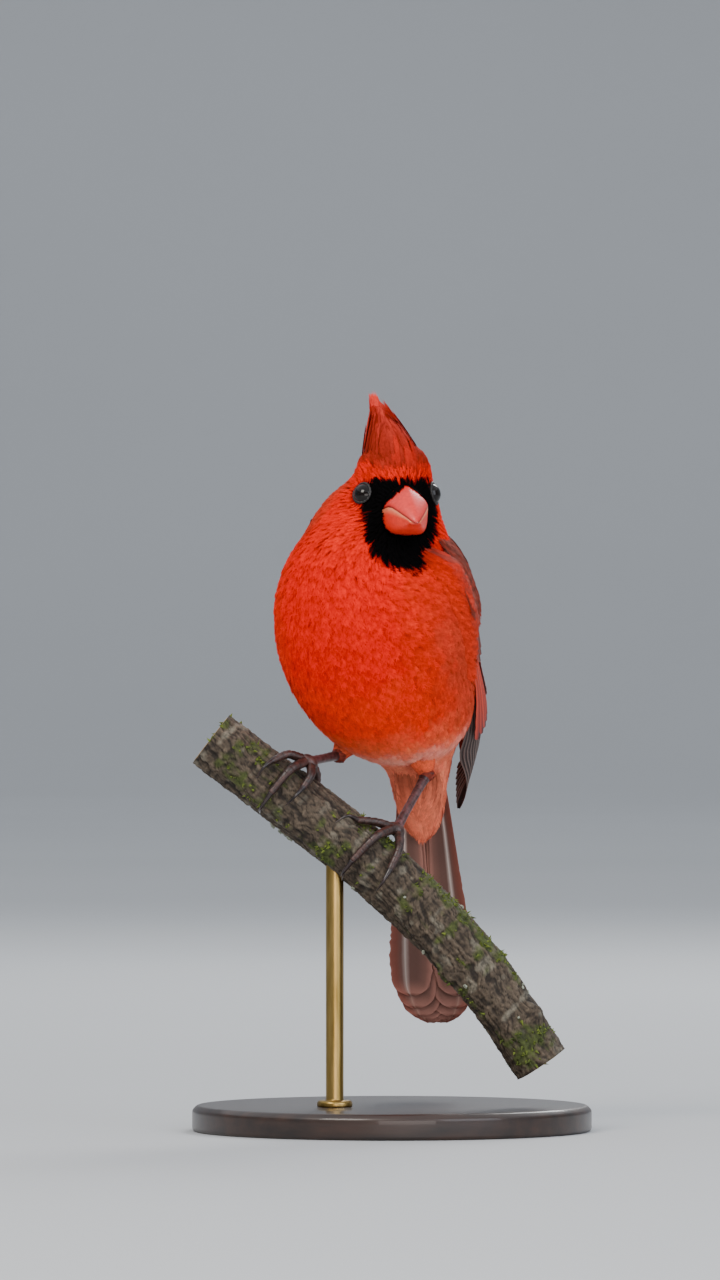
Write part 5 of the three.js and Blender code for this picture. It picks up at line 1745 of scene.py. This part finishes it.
class Perch:
    """The cut branch: ridged bark with knots, moss and lichen."""

    DEPTH = -12.0
    LINE = ((-56, 121.5), (-29.4, 101), (3.4, 74.9), (29, 46.5), (46, 21))
    RADIUS = Profile((0, 9.3), (0.25, 9.6), (0.5, 9.7), (0.75, 9.2), (1, 8.7))
    RIPPLE = 0.35
    KNOTS = (Knot(0.05, 70, 2.2, 3.6), Knot(0.62, -60, 1.6, 4.2), Knot(0.72, 150, 1.4, 3.4), Knot(0.9, 40, 2.4, 3.6))
    VIEWER = np.array([0.0, -1.0, 0.0])
    STEPS = 300
    SIDES = 150
    CUT_SIDES = 96
    CUT_RINGS = 26
    CUT_INSET = 1.2
    BARK = TonedFinish("mossy bark", 0.88, 900.0, 0.0004, 0.45)
    WOOD = TonedFinish("sawn wood", 0.7, 2500.0, 6e-5, 0.15)

    def __init__(self) -> None:
        """Sets the branch's middle line."""
        self.curve = Curve([np.array([x, self.DEPTH, z]) for x, z in self.LINE])

    def outward(self, share: Array, degrees: Array) -> Array:
        """A direction square to the branch, by its angle from the top towards the breast side."""
        angle = np.radians(degrees)[..., None]
        return np.cross(self.VIEWER, self.curve.tangent(share)) * np.cos(angle) + self.VIEWER * np.sin(angle)

    def radius(self, share: Array, degrees: Array) -> Array:
        """The bark's plain distance from the middle line: long ridges, and the knots."""
        angle, plain = np.radians(degrees), self.RADIUS(share)
        total = plain + self.RIPPLE * (np.sin(3 * angle + 9 * share) + 0.7 * np.sin(5 * angle - 17 * share + 1))
        for knot in self.KNOTS:
            around = np.radians((degrees - knot.angle + 540) % 360 - 180) * plain
            along = (share - knot.share) * self.curve.length
            total = total + knot.height * np.exp(-(around**2 + along**2) / knot.spread**2)
        return total

    def over(self, share: Array, degrees: Array, lift: Array | float) -> Array:
        """A place over the bark: share along, degrees from the top, and lift off the bark."""
        share, degrees = np.asarray(share, float), np.asarray(degrees, float)
        out = (self.radius(share, degrees) + lift)[..., None]
        return self.curve.at(share) + self.outward(share, degrees) * out

    def roughness(self, points: Array, share: Array, degrees: Array) -> Array:
        """Fine relief of the bark: flakes, and cracks that run along the branch."""
        along, arc = share * self.curve.length, np.radians(degrees) * 9.4
        warp = 2.4 * ripple(points, 17.0, 21)
        strips = np.sin(arc * 1.05 + warp) + 0.6 * np.sin(arc * 2.3 - 0.11 * along + 1.6 * warp)
        breaks = np.sin(along * 0.55 + 3 * ripple(points, 9.0, 22))
        plates = -0.45 * np.exp(-((strips / 0.35) ** 2)) - 0.22 * np.exp(-((breaks / 0.25) ** 2))
        return plates + 0.2 * ripple(points, 4.0, 23) + 0.1 * ripple(points, 1.7, 24)

    def mossy(self, points: Array, degrees: Array) -> Array:
        """Where moss grows, from 0 to 1: patches, mostly on the breast side."""
        side = np.cos(np.radians(degrees - 70))
        return ease(ripple(points, 26.0, 31) + 0.55 * ripple(points, 9.0, 32) + 0.8 * side, 0.5, 1.3)

    def bark(self) -> tuple[Form, Array]:
        """The branch with its cut ends, and how mossy each of its points is."""
        share, degrees = crossed(np.linspace(0, 1, self.STEPS + 1), np.degrees(circle(self.SIDES)))
        plain = self.over(share, degrees, 0.0)
        relief = self.roughness(plain, share, degrees) - 0.1
        form = loft(self.over(share, degrees, relief))
        moss, depth = self.mossy(plain, degrees).ravel(), relief.ravel()
        grey = ripple(form.points[:-2], 12.0, 41)
        # Tones follow the relief, paler on the raised plates; the near black deep in the cracks is painted shade in the
        # recesses.
        colour = painted(
            "33291f",
            ("6a5c4c", ease(depth, -0.5, 0.3)),
            ("8a8474", 0.5 * ease(grey, 0.35, 0.9)),
            ("46521e", 0.85 * moss),
            ("1a1511", 0.6 * ease(-depth, 0.25, 0.6)),
        )
        form.tone = np.vstack([colour, [tone("a88a60")] * 2])
        return form, np.append(moss, [0.0, 0.0])

    def cut_face(self, end: float) -> Form:
        """The sawn wood at one end, a thin disc with growth rings."""
        rim = self.over(np.full(self.CUT_SIDES, end), np.degrees(circle(self.CUT_SIDES)), -self.CUT_INSET)
        centre = self.curve.at(end)
        along = self.curve.tangent(end) * (1 if end else -1)
        back, front = centre - along * 0.6, centre + along * 0.12
        face = front + (rim - centre) * np.linspace(1.0, 0.05, self.CUT_RINGS)[:, None, None]
        form = loft(np.concatenate([(back + rim - centre)[None], face]), (back, front))
        off = np.linalg.norm(form.points - centre, axis=-1) + 0.5 * ripple(form.points, 7.0, 51)
        rings = 0.5 + 0.5 * np.sin(off * 5.2)
        form.tone = painted("a58458", ("c8a878", rings), ("6a4a2c", ease(2.0 - off, 0.0, 1.2)))
        return form

    def build(self) -> None:
        """Makes the bark, the cut faces, and the moss and lichen that grow on them."""
        form, moss = self.bark()
        piece = build("branch_bark", form, self.BARK, ("perch",))
        for end in (0, 1):
            build(f"branch_cut_{end + 1}", self.cut_face(float(end)), self.WOOD)
        crust = np.clip(ripple(form.points, 19.0, 61) * 1.6 - 0.75, 0, 1) * (1 - moss)
        for growth, mask in ((MOSS, moss), (LICHEN, crust)):
            layer = piece.data.attributes.new(growth.mask, "FLOAT", "POINT")
            layer.data.foreach_set("value", mask.astype(np.float32))
            growth.build(piece)


@dataclass(frozen=True)
class Scatter:
    """Small growths scattered over bark: cones whose width and height are in metres."""

    mask: str
    density: float
    height: float
    stoutness: float
    seed: int
    finish: SurfaceFinish

    def tree(self) -> bpy.types.NodeTree:
        """The scatter's tree, with its sizes as named inputs."""
        g = Graph(bpy.data.node_groups.new(f"{self.mask.lower()} scatter", "GeometryNodeTree"))
        new = g.tree.interface.new_socket
        new("Geometry", in_out="INPUT", socket_type="NodeSocketGeometry")
        for label, value in self.sizes.items():
            kind = "NodeSocketInt" if label == "Seed" else "NodeSocketFloat"
            new(label, in_out="INPUT", socket_type=kind).default_value = value
        new("Geometry", in_out="OUTPUT", socket_type="NodeSocketGeometry")
        given = g.add("NodeGroupInput").outputs
        named = g.add("GeometryNodeInputNamedAttribute", {"Name": self.mask}, data_type="FLOAT")
        amount = {0: named.outputs["Attribute"], 1: given["Density"]}
        amount = g.add("ShaderNodeMath", amount, operation="MULTIPLY").outputs[0]
        spread = {"Mesh": given["Geometry"], "Density": amount, "Seed": given["Seed"]}
        points = g.add("GeometryNodeDistributePointsOnFaces", spread).outputs
        shape = {"Vertices": 5, "Depth": given["Height"], "Radius Bottom": given["Radius"]}
        if self.stoutness > 1:
            shape["Radius Top"] = given["Radius"]
        lean = 0.9 if self.stoutness < 1 else 0.15
        size, tilt = (
            g.add("FunctionNodeRandomValue", {"Seed": given["Seed"], 0: low, 1: high}, data_type="FLOAT_VECTOR")
            for low, high in (((0.5, 0.5, 0.5), (1.3, 1.3, 1.5)), ((-lean, -lean, 0.0), (lean, lean, 6.28)))
        )
        turn = {"Rotation": points["Rotation"], "Rotate By": tilt.outputs[0]}
        place = {
            "Points": points["Points"],
            "Instance": g.add("GeometryNodeMeshCone", shape).outputs["Mesh"],
            "Rotation": g.add("FunctionNodeRotateRotation", turn, rotation_space="LOCAL").outputs["Rotation"],
            "Scale": size.outputs[0],
        }
        copies = g.add("GeometryNodeInstanceOnPoints", place).outputs["Instances"]
        real = g.add("GeometryNodeRealizeInstances", {"Geometry": copies}).outputs["Geometry"]
        dressed = g.add("GeometryNodeSetMaterial", {"Geometry": real, "Material": self.finish.made()})
        g.add("NodeGroupOutput", {"Geometry": dressed.outputs["Geometry"]})
        return g.tree

    @property
    def sizes(self) -> dict[str, float]:
        """The tree's inputs."""
        radius = self.height * self.stoutness
        return {"Density": self.density, "Height": self.height, "Radius": radius, "Seed": self.seed}

    def build(self, ground: bpy.types.Object) -> None:
        """Scatters the growths over a piece and keeps the result as a plain mesh."""
        carrier = placed(f"branch_{self.mask.lower()}", ground.data)
        modifier = carrier.modifiers.new(self.mask, "NODES")
        modifier.node_group = self.tree()
        for item in modifier.node_group.interface.items_tree:
            if item.in_out == "INPUT" and item.name in self.sizes:
                modifier[item.identifier] = self.sizes[item.name]
        graph = bpy.context.evaluated_depsgraph_get()
        mesh = bpy.data.meshes.new_from_object(carrier.evaluated_get(graph))
        carrier.modifiers.remove(modifier)
        carrier.data = mesh
        mesh.materials.clear()
        mesh.materials.append(self.finish.made())
        mount(carrier)


LEAVES = SurfaceFinish("moss leaves", "2e3a0c", "6c7a26", 0.85, 260.0, 3000.0, 5e-5)
CRUST = SurfaceFinish("grey lichen", "7c8272", "aeb2a0", 0.9, 700.0, 4000.0, 8e-5)
MOSS = Scatter("Moss", 300000.0, 0.0013, 0.34, 3, LEAVES)
LICHEN = Scatter("Lichen", 90000.0, 0.0005, 1.25, 7, CRUST)


# Legs and feet


@dataclass(frozen=True)
class Toe:
    """A toe's path over the bark and its claw's.

    A path is a row of places: millimetres along the branch from the foot, degrees from its top
    towards the breast side, and lift of the middle line.
    """

    radius: float
    scutes: int
    path: tuple[Triple, ...]
    claw: tuple[Triple, ...]


def scute(share: Array, angle: Array, count: int) -> Array:
    """The rise of plates that overlap like tiles on a rod's outer side, from 0 to 1."""
    phase = (share * count) % 1.0
    return np.maximum(0, np.sin(angle)) ** 0.5 * (1 - phase) ** 0.8 * ease(phase, 0.0, 0.12)


def scaly(form: Form, dark: str, light: str) -> Form:
    """Gives a scaly form its tones."""
    weight = np.clip(0.4 + 0.6 * ripple(form.points, 3.0, 71), 0, 1)
    form.tone = painted(dark, (light, weight))
    return form


@dataclass
class Leg:
    """A leg: a feathered thigh, a knob at the heel, a scaly shank, and four toes with claws."""

    name: str
    perch: Perch
    thigh_start: Triple
    heel_place: Triple
    foot_share: float
    toes: tuple[Toe, ...]
    pad_lift: float = 3.3
    pad_half: Triple = (3.0, 2.5, 2.1)
    shank_scutes: int = 7
    knob_radius: float = 2.3
    knob_forward: float = 0.5
    scute_rise: float = 0.25
    tip_radius: float = 1.05
    claw_radius: float = 0.95
    claw_tip: float = 0.12
    thigh_feathers: int = 520
    thigh_length: float = 4.2
    knob_feathers: int = 240

    SHANK = Profile((0, 2), (0.14, 1.5), (0.6, 1.3), (0.9, 1.5), (1, 1.8))
    THIGH = Profile((0, 6.5), (0.55, 4.6), (0.85, 2.9), (1, 2.2))
    FORWARD = np.array([0.0, -1.0, 0.2])
    SCALES = TonedFinish("leg scales", 0.42, 2600.0, 5e-5, 0.25, coat=0.1)
    HORN = TonedFinish("claw horn", 0.3, 3000.0, 2e-5, 0.2, coat=0.2)

    def __post_init__(self) -> None:
        """Works out where the leg's parts meet."""
        self.start, self.heel = np.array(self.thigh_start, float), np.array(self.heel_place, float)
        self.foot = self.perch.over(self.foot_share, 0.0, self.pad_lift)
        self.knob_centre = self.heel - np.array([0.0, self.knob_forward, 0.0])

    def path(self, places: Sequence[Triple]) -> Curve:
        """A curve over the bark from the foot."""
        along, degrees, lift = np.array(places, float).T
        return Curve(list(self.perch.over(self.foot_share + along / self.perch.curve.length, degrees, lift)))

    def outward(self, curve: Curve) -> Callable[[Array], Array]:
        """Away from the branch's middle line, for places on a curve."""
        middle = self.perch.curve.at(self.foot_share)
        along = self.perch.curve.tangent(self.foot_share)
        return lambda share: square_to(curve.at(share) - middle, along)

    def shank(self) -> Form:
        """The bare leg from the heel to the foot, with plates in front and a ridge behind."""

        def radius(share: Array, angle: Array) -> Array:
            """The radius by the share along and the angle round."""
            ridge = 0.12 * np.maximum(0, -np.sin(angle)) ** 4
            return self.SHANK(share) + self.scute_rise * scute(share, angle, self.shank_scutes) + ridge

        forward = np.array([0.0, -0.7, 0.7])
        return tube(Curve([self.heel, self.foot]), 150, 28, radius, lambda share: forward, 0.3)

    def toe(self, shape: Toe) -> Form:
        """One toe with plates above, and soft swellings below at its joints."""

        def radius(share: Array, angle: Array) -> Array:
            """The radius by the share along and the angle round."""
            below = np.maximum(0, -np.sin(angle)) * (0.5 + 0.5 * np.cos(share * shape.scutes * 3.1))
            plain = shape.radius + (self.tip_radius - shape.radius) * share
            return plain + self.scute_rise * scute(share, angle, shape.scutes) + 0.1 * below

        curve = self.path(shape.path)
        return tube(curve, 140, 26, radius, self.outward(curve))

    def claw(self, shape: Toe) -> Form:
        """A hooked claw from the end of its toe, deeper than wide."""

        def radius(share: Array, angle: Array) -> Array:
            """Thick at its root, to a fine point."""
            plain = self.claw_radius + (self.claw_tip - self.claw_radius) * share**0.75
            return plain * (1 + 0.18 * np.abs(np.sin(angle)))

        curve = self.path((shape.path[-1], *shape.claw))
        return tube(curve, 40, 20, radius, self.outward(curve))

    def pad(self) -> Form:
        """The foot's middle, that the toes grow from."""
        up = self.perch.outward(self.foot_share, 0.0)
        axes = np.stack([self.perch.curve.tangent(self.foot_share), Perch.VIEWER, up])
        return ball(self.foot, axes * np.array(self.pad_half)[:, None], 22, 36)

    def knob_coat(self) -> Form:
        """Short feathers over the heel, down to the first scutes."""
        rng = draws(23)
        down = unit(self.foot - self.heel)
        start = unit(rng.normal(size=(self.knob_feathers, 3)))
        start = start[start @ down < 0.45]
        count = len(start)
        flow = square_to(np.broadcast_to(down, start.shape), start)[:, None]
        t = ALONG[..., None]
        turn = t * rng.uniform(0.8, 1.15, (count, 1, 1))
        out = start[:, None] * np.cos(turn) + flow * np.sin(turn)
        along = flow * np.cos(turn) - start[:, None] * np.sin(turn)
        points = self.knob_centre + out * (self.knob_radius - 0.25 + 0.5 * t**0.8)
        colour = tone(Region.THIGH) * rng.uniform(0.6, 1.1, (count, 1))
        shafts = Shafts(points, np.cross(out, along), out)
        return Tuft(5).spread(shafts, np.full(count, 0.5), colour, 0.75 + 0.02 * start[:, :2], SEED)

    def thigh(self) -> Form:
        """The feathered end of the leg down to the heel, under its small feathers."""
        line = Curve([self.start, self.heel])
        form = tube(line, 30, 40, lambda share, angle: self.THIGH(share) - 0.5, lambda share: self.FORWARD, 0.6)
        # The thigh's core is darker than its feathers: painted shade under them.
        return form.under_feathers(tone(Region.THIGH) * 0.6)

    def thigh_coat(self) -> Form:
        """Short soft feathers down the thigh."""
        rng = draws(21)
        reach, along = np.linalg.norm(self.heel - self.start), unit(self.heel - self.start)
        side = unit(np.cross(along, self.FORWARD))
        count = self.thigh_feathers
        share, angle = rng.uniform(0.3, 0.98, count), rng.uniform(0, 2 * math.pi, count)
        place = np.minimum(share[:, None] + ALONG * self.thigh_length / reach, 1.1)
        around = (side * np.cos(angle)[:, None] + np.cross(along, side) * np.sin(angle)[:, None])[:, None]
        lift = (self.THIGH(place) - 0.3 + 0.5 * ALONG**0.8)[..., None]
        points = self.start + along * (place * reach)[..., None] + around * lift
        normals = np.broadcast_to(around, points.shape)
        shade = painted(Region.LOWER_BELLY, (Region.THIGH, ease(share, 0.5, 0.9)))
        shade = shade * rng.uniform(0.75, 1.15, (count, 1))
        bake = np.stack([0.7 + 0.1 * share, 0.12 + 0.01 * angle], -1)
        shafts = Shafts(points, np.cross(normals, along), normals)
        return Tuft(5).spread(shafts, np.full(count, 0.85), shade, bake, SEED)

    def build(self) -> None:
        """Makes the leg."""
        name = self.name
        knob = ball(self.knob_centre, np.eye(3) * self.knob_radius, 18, 28)
        bare = [scaly(self.shank(), "38201f", "6c4446"), scaly(knob, "4a2420", "7c4238")]
        bare.append(scaly(self.pad(), "30201c", "5c3c38"))
        build(f"leg_{name}", Form.joined(bare), self.SCALES, (f"shank_{name}", f"foot_{name}"))
        for index, shape in enumerate(self.toes, start=1):
            toe = scaly(self.toe(shape), "281a16", "50332d")
            build(f"toe_scales_{name}_{index}", toe, self.SCALES, (f"toe_{name}_{index}",))
            claw = scaly(self.claw(shape), "1a1212", "3a2a28")
            build(f"claw_horn_{name}_{index}", claw, self.HORN, (f"claw_{name}_{index}",))
        coat = Form.joined([self.thigh(), self.thigh_coat(), self.knob_coat()])
        build(f"thigh_feathers_{name}", coat, FeatherFinish("thigh feathers"), (f"thigh_{name}",))


LEFT_TOES = (
    Toe(1.5, 6, ((1, -8, 3), (3.5, -38, 2.4), (5, -75, 1.8)), ((5.6, -100, 2.8), (6, -128, 0.9))),
    Toe(1.4, 6, ((-1.5, 8, 3), (-6, 26, 2.7), (-11, 42, 1.6)), ((-14.2, 54, 2.7), (-16, 72, 0.9))),
    Toe(1.55, 9, ((-1, 14, 3), (-3.5, 52, 2.5), (-4.8, 104, 1.6)), ((-4.6, 130, 2.8), (-3.4, 158, 0.9))),
    Toe(1.4, 7, ((1.6, 15, 3), (4.1, 44, 2.5), (6, 78, 1.6)), ((6.8, 100, 2.7), (7.2, 124, 0.9))),
)
RIGHT_TOES = (
    Toe(1.5, 6, ((1.5, -8, 3), (5, -32, 2.4), (7.5, -64, 1.8)), ((8.6, -90, 2.8), (9, -118, 0.9))),
    Toe(1.4, 6, ((1.5, 14, 3), (3, 34, 2.6), (3.4, 58, 1.6)), ((3.2, 78, 2.7), (2.6, 100, 0.9))),
    Toe(1.55, 9, ((-1, 14, 3), (-3, 50, 2.5), (-3.4, 98, 1.6)), ((-3, 124, 2.8), (-2.2, 150, 0.9))),
    Toe(1.4, 7, ((-2.5, 10, 3), (-6.5, 28, 2.5), (-9, 52, 1.6)), ((-9.9, 72, 2.7), (-9.8, 94, 0.9))),
)


# The stand


@dataclass(frozen=True)
class Stand:
    """A round wooden base with one brass rod up to the branch."""

    radius: float = 62.0
    height: float = 8.0
    edge: float = 1.5
    rod_x: float = -17.7
    rod_radius: float = 2.75
    collar_radius: float = 5.5
    collar_height: float = 2.0
    collar_edge: float = 0.6
    rod_top: float = 86.0

    WOOD = SurfaceFinish("dark stained wood", "1c120d", "38241a", 0.38, 26.0, 160.0, 5e-5, (1.0, 9.0, 9.0), coat=0.35)
    BRASS = SurfaceFinish("brushed brass", "8a7038", "b8985a", 0.3, 60.0, 900.0, 1e-5, (8.0, 8.0, 1.0), metallic=1.0)

    @staticmethod
    def turned(outline: Sequence[Pair], size: float, middle: Pair, sides: int) -> Form:
        """A turned form.

        Args:
            outline: Its radius and height at each corner, without the ends on the axis.
            size: How far each corner is rounded.
            middle: Where its axis stands.
            sides: Points round it.

        Returns:
            The closed form.
        """
        places = [np.array(place, float) for place in outline]
        rows = [places[0]]
        for before, corner, after in zip(places, places[1:], places[2:]):
            reach = min(size, 0.45 * np.linalg.norm(corner - before), 0.45 * np.linalg.norm(after - corner))
            a, b = (corner + unit(other - corner) * reach for other in (before, after))
            rows += [a * (1 - t) ** 2 + corner * 2 * t * (1 - t) + b * t**2 for t in np.linspace(0, 1, 6)]
        profile = np.array([*rows, places[-1]])[:, None]
        x, y = (profile[..., 0] * wave(circle(sides)) + at for wave, at in zip((np.cos, np.sin), middle))
        ends = [np.array([*middle, profile[k, 0, 1]]) for k in (0, -1)]
        return loft(np.stack([x, y, np.broadcast_to(profile[..., 1], x.shape)], -1), (ends[0], ends[1]))

    def build(self) -> None:
        """Makes the base and the rod with its collar."""
        r, h, e = self.radius, self.height, self.edge
        outline = [(r * 0.3, 0.0), (r - e / 2, 0.0), (r, e / 2), (r, h - e), (r - e, h), (r * 0.3, h)]
        base = self.turned(outline, 0.7, (0.0, 0.0), 160)
        build("stand_base_wood", base, self.WOOD, ("stand_base",))
        foot, collar, wide, rod = h + 0.05, h + self.collar_height, self.collar_radius, self.rod_radius
        outline = [(0.5, foot), (wide, foot), (wide, collar - self.collar_edge), (wide - self.collar_edge, collar)]
        outline += [(rod, collar), (rod, self.rod_top), (0.5, self.rod_top)]
        column = self.turned(outline, 0.4, (self.rod_x, Perch.DEPTH), 64)
        build("stand_rod_brass", column, self.BRASS, ("stand_rod",))


# The studio


@dataclass(frozen=True)
class Studio:
    """A pale floor that curves up far away, soft lights and the camera. Lengths are metres."""

    floor_radius: float = 6.5
    wall_radius: float = 8.5
    wall_height: float = 5.0
    sides: int = 96
    camera_place: Triple = (-0.0099, -3.0, 0.1522)
    lens: float = 272.0
    looked_at: Triple = (0.0, 0.0, 0.15)
    sky: tuple[float, ...] = (0.82, 0.86, 0.92, 1.0)
    sky_strength: float = 1.12

    PALE = SurfaceFinish("pale floor", "b4b6b8", "bcbec0", 0.9, 0.6, 40.0, 0.0001)

    def floor(self) -> None:
        """The floor and its far wall, as one turned sheet."""
        cove = self.wall_radius - self.floor_radius
        outline = [(0.4, 0.0), (self.floor_radius, 0.0)]
        for a in np.linspace(0, math.pi / 2, 12)[1:]:
            outline.append((self.floor_radius + cove * math.sin(a), cove * (1 - math.cos(a))))
        outline += [(self.wall_radius, self.wall_height)]
        points = [(0.0, 0.0, 0.0)]
        points += [(r * math.cos(a), r * math.sin(a), z) for r, z in outline for a in circle(self.sides)]
        ring = [(1 + j, 1 + (j + 1) % self.sides) for j in range(self.sides)]
        faces: list[tuple[int, ...]] = [(0, a, b) for a, b in ring]
        for start in range(0, (len(outline) - 1) * self.sides, self.sides):
            faces += [(start + a, start + a + self.sides, start + b + self.sides, start + b) for a, b in ring]
        mesh = bpy.data.meshes.new("studio_floor")
        mesh.from_pydata(points, [], faces)
        mesh.polygons.foreach_set("use_smooth", np.ones(len(mesh.polygons), bool))
        mesh.materials.append(self.PALE.made())
        placed("studio_floor", mesh)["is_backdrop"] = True

    def light(self, name: str, place: Triple, size: float, power: float, warmth: str) -> None:
        """A soft square light that looks at the bird."""
        lamp = bpy.data.lights.new(name, "AREA")
        lamp.size, lamp.energy, lamp.color = size, power, tone(warmth).tolist()
        holder = placed(name, lamp)
        axis = unit(np.array(place) - np.array(self.looked_at))
        right = unit(np.cross([0.0, 0.0, 1.0], axis))
        for k, row in enumerate(zip(right, np.cross(axis, right), axis, place)):
            holder.matrix_world[k][:] = row

    def build(self) -> None:
        """Sets the floor, the lights, the surroundings and the camera."""
        self.floor()
        self.light("key light", (-0.9, -1.4, 1.5), 0.9, 29.0, "fff8ee")
        self.light("fill light", (1.3, -1.2, 0.7), 1.2, 14.0, "eef4ff")
        self.light("low light", (0.25, -1.7, 0.06), 1.0, 11.5, "fff4f0")
        self.light("back light", (0.5, 1.5, 1.3), 0.8, 20.0, "ffffff")
        world = bpy.data.worlds.new("soft surroundings")
        world.use_nodes = True
        sky = world.node_tree.nodes["Background"].inputs
        sky["Color"].default_value, sky["Strength"].default_value = self.sky, self.sky_strength
        bpy.context.scene.world = world
        camera = bpy.data.cameras.new("camera")
        camera.lens, camera.sensor_width, camera.clip_end = self.lens, 36.0, 50.0
        holder = placed("camera", camera)
        holder.location, holder.rotation_euler = self.camera_place, (math.pi / 2, 0.0, 0.0)
        bpy.context.scene.camera = holder


def main() -> None:
    """Builds the model piece by piece, from the skin out, then the branch, the stand and the studio."""
    logging.basicConfig(level=logging.INFO, format="%(message)s")
    wings = [Wing(name) for name in SIDES]
    perch = Perch()
    legs = (
        Leg("left", perch, (7, 2, 122), (10.9, 4, 110.6), 0.43, LEFT_TOES),
        Leg("right", perch, (-10, 8, 126), (-16.4, 5.4, 116.4), 0.195, RIGHT_TOES),
    )
    coat = Coat(Skin().build(), wings)
    for part in (coat, Crest(), Face(), BILL, *wings, Tail(), perch, *legs, Stand(), Studio()):
        part.build()
    boxes = {"cad": CAD_BOX, "visual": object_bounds()}
    {key: [list(map(float, c)) for c in box] for key, box in boxes.items()}


if __name__ == "__main__":
    main()
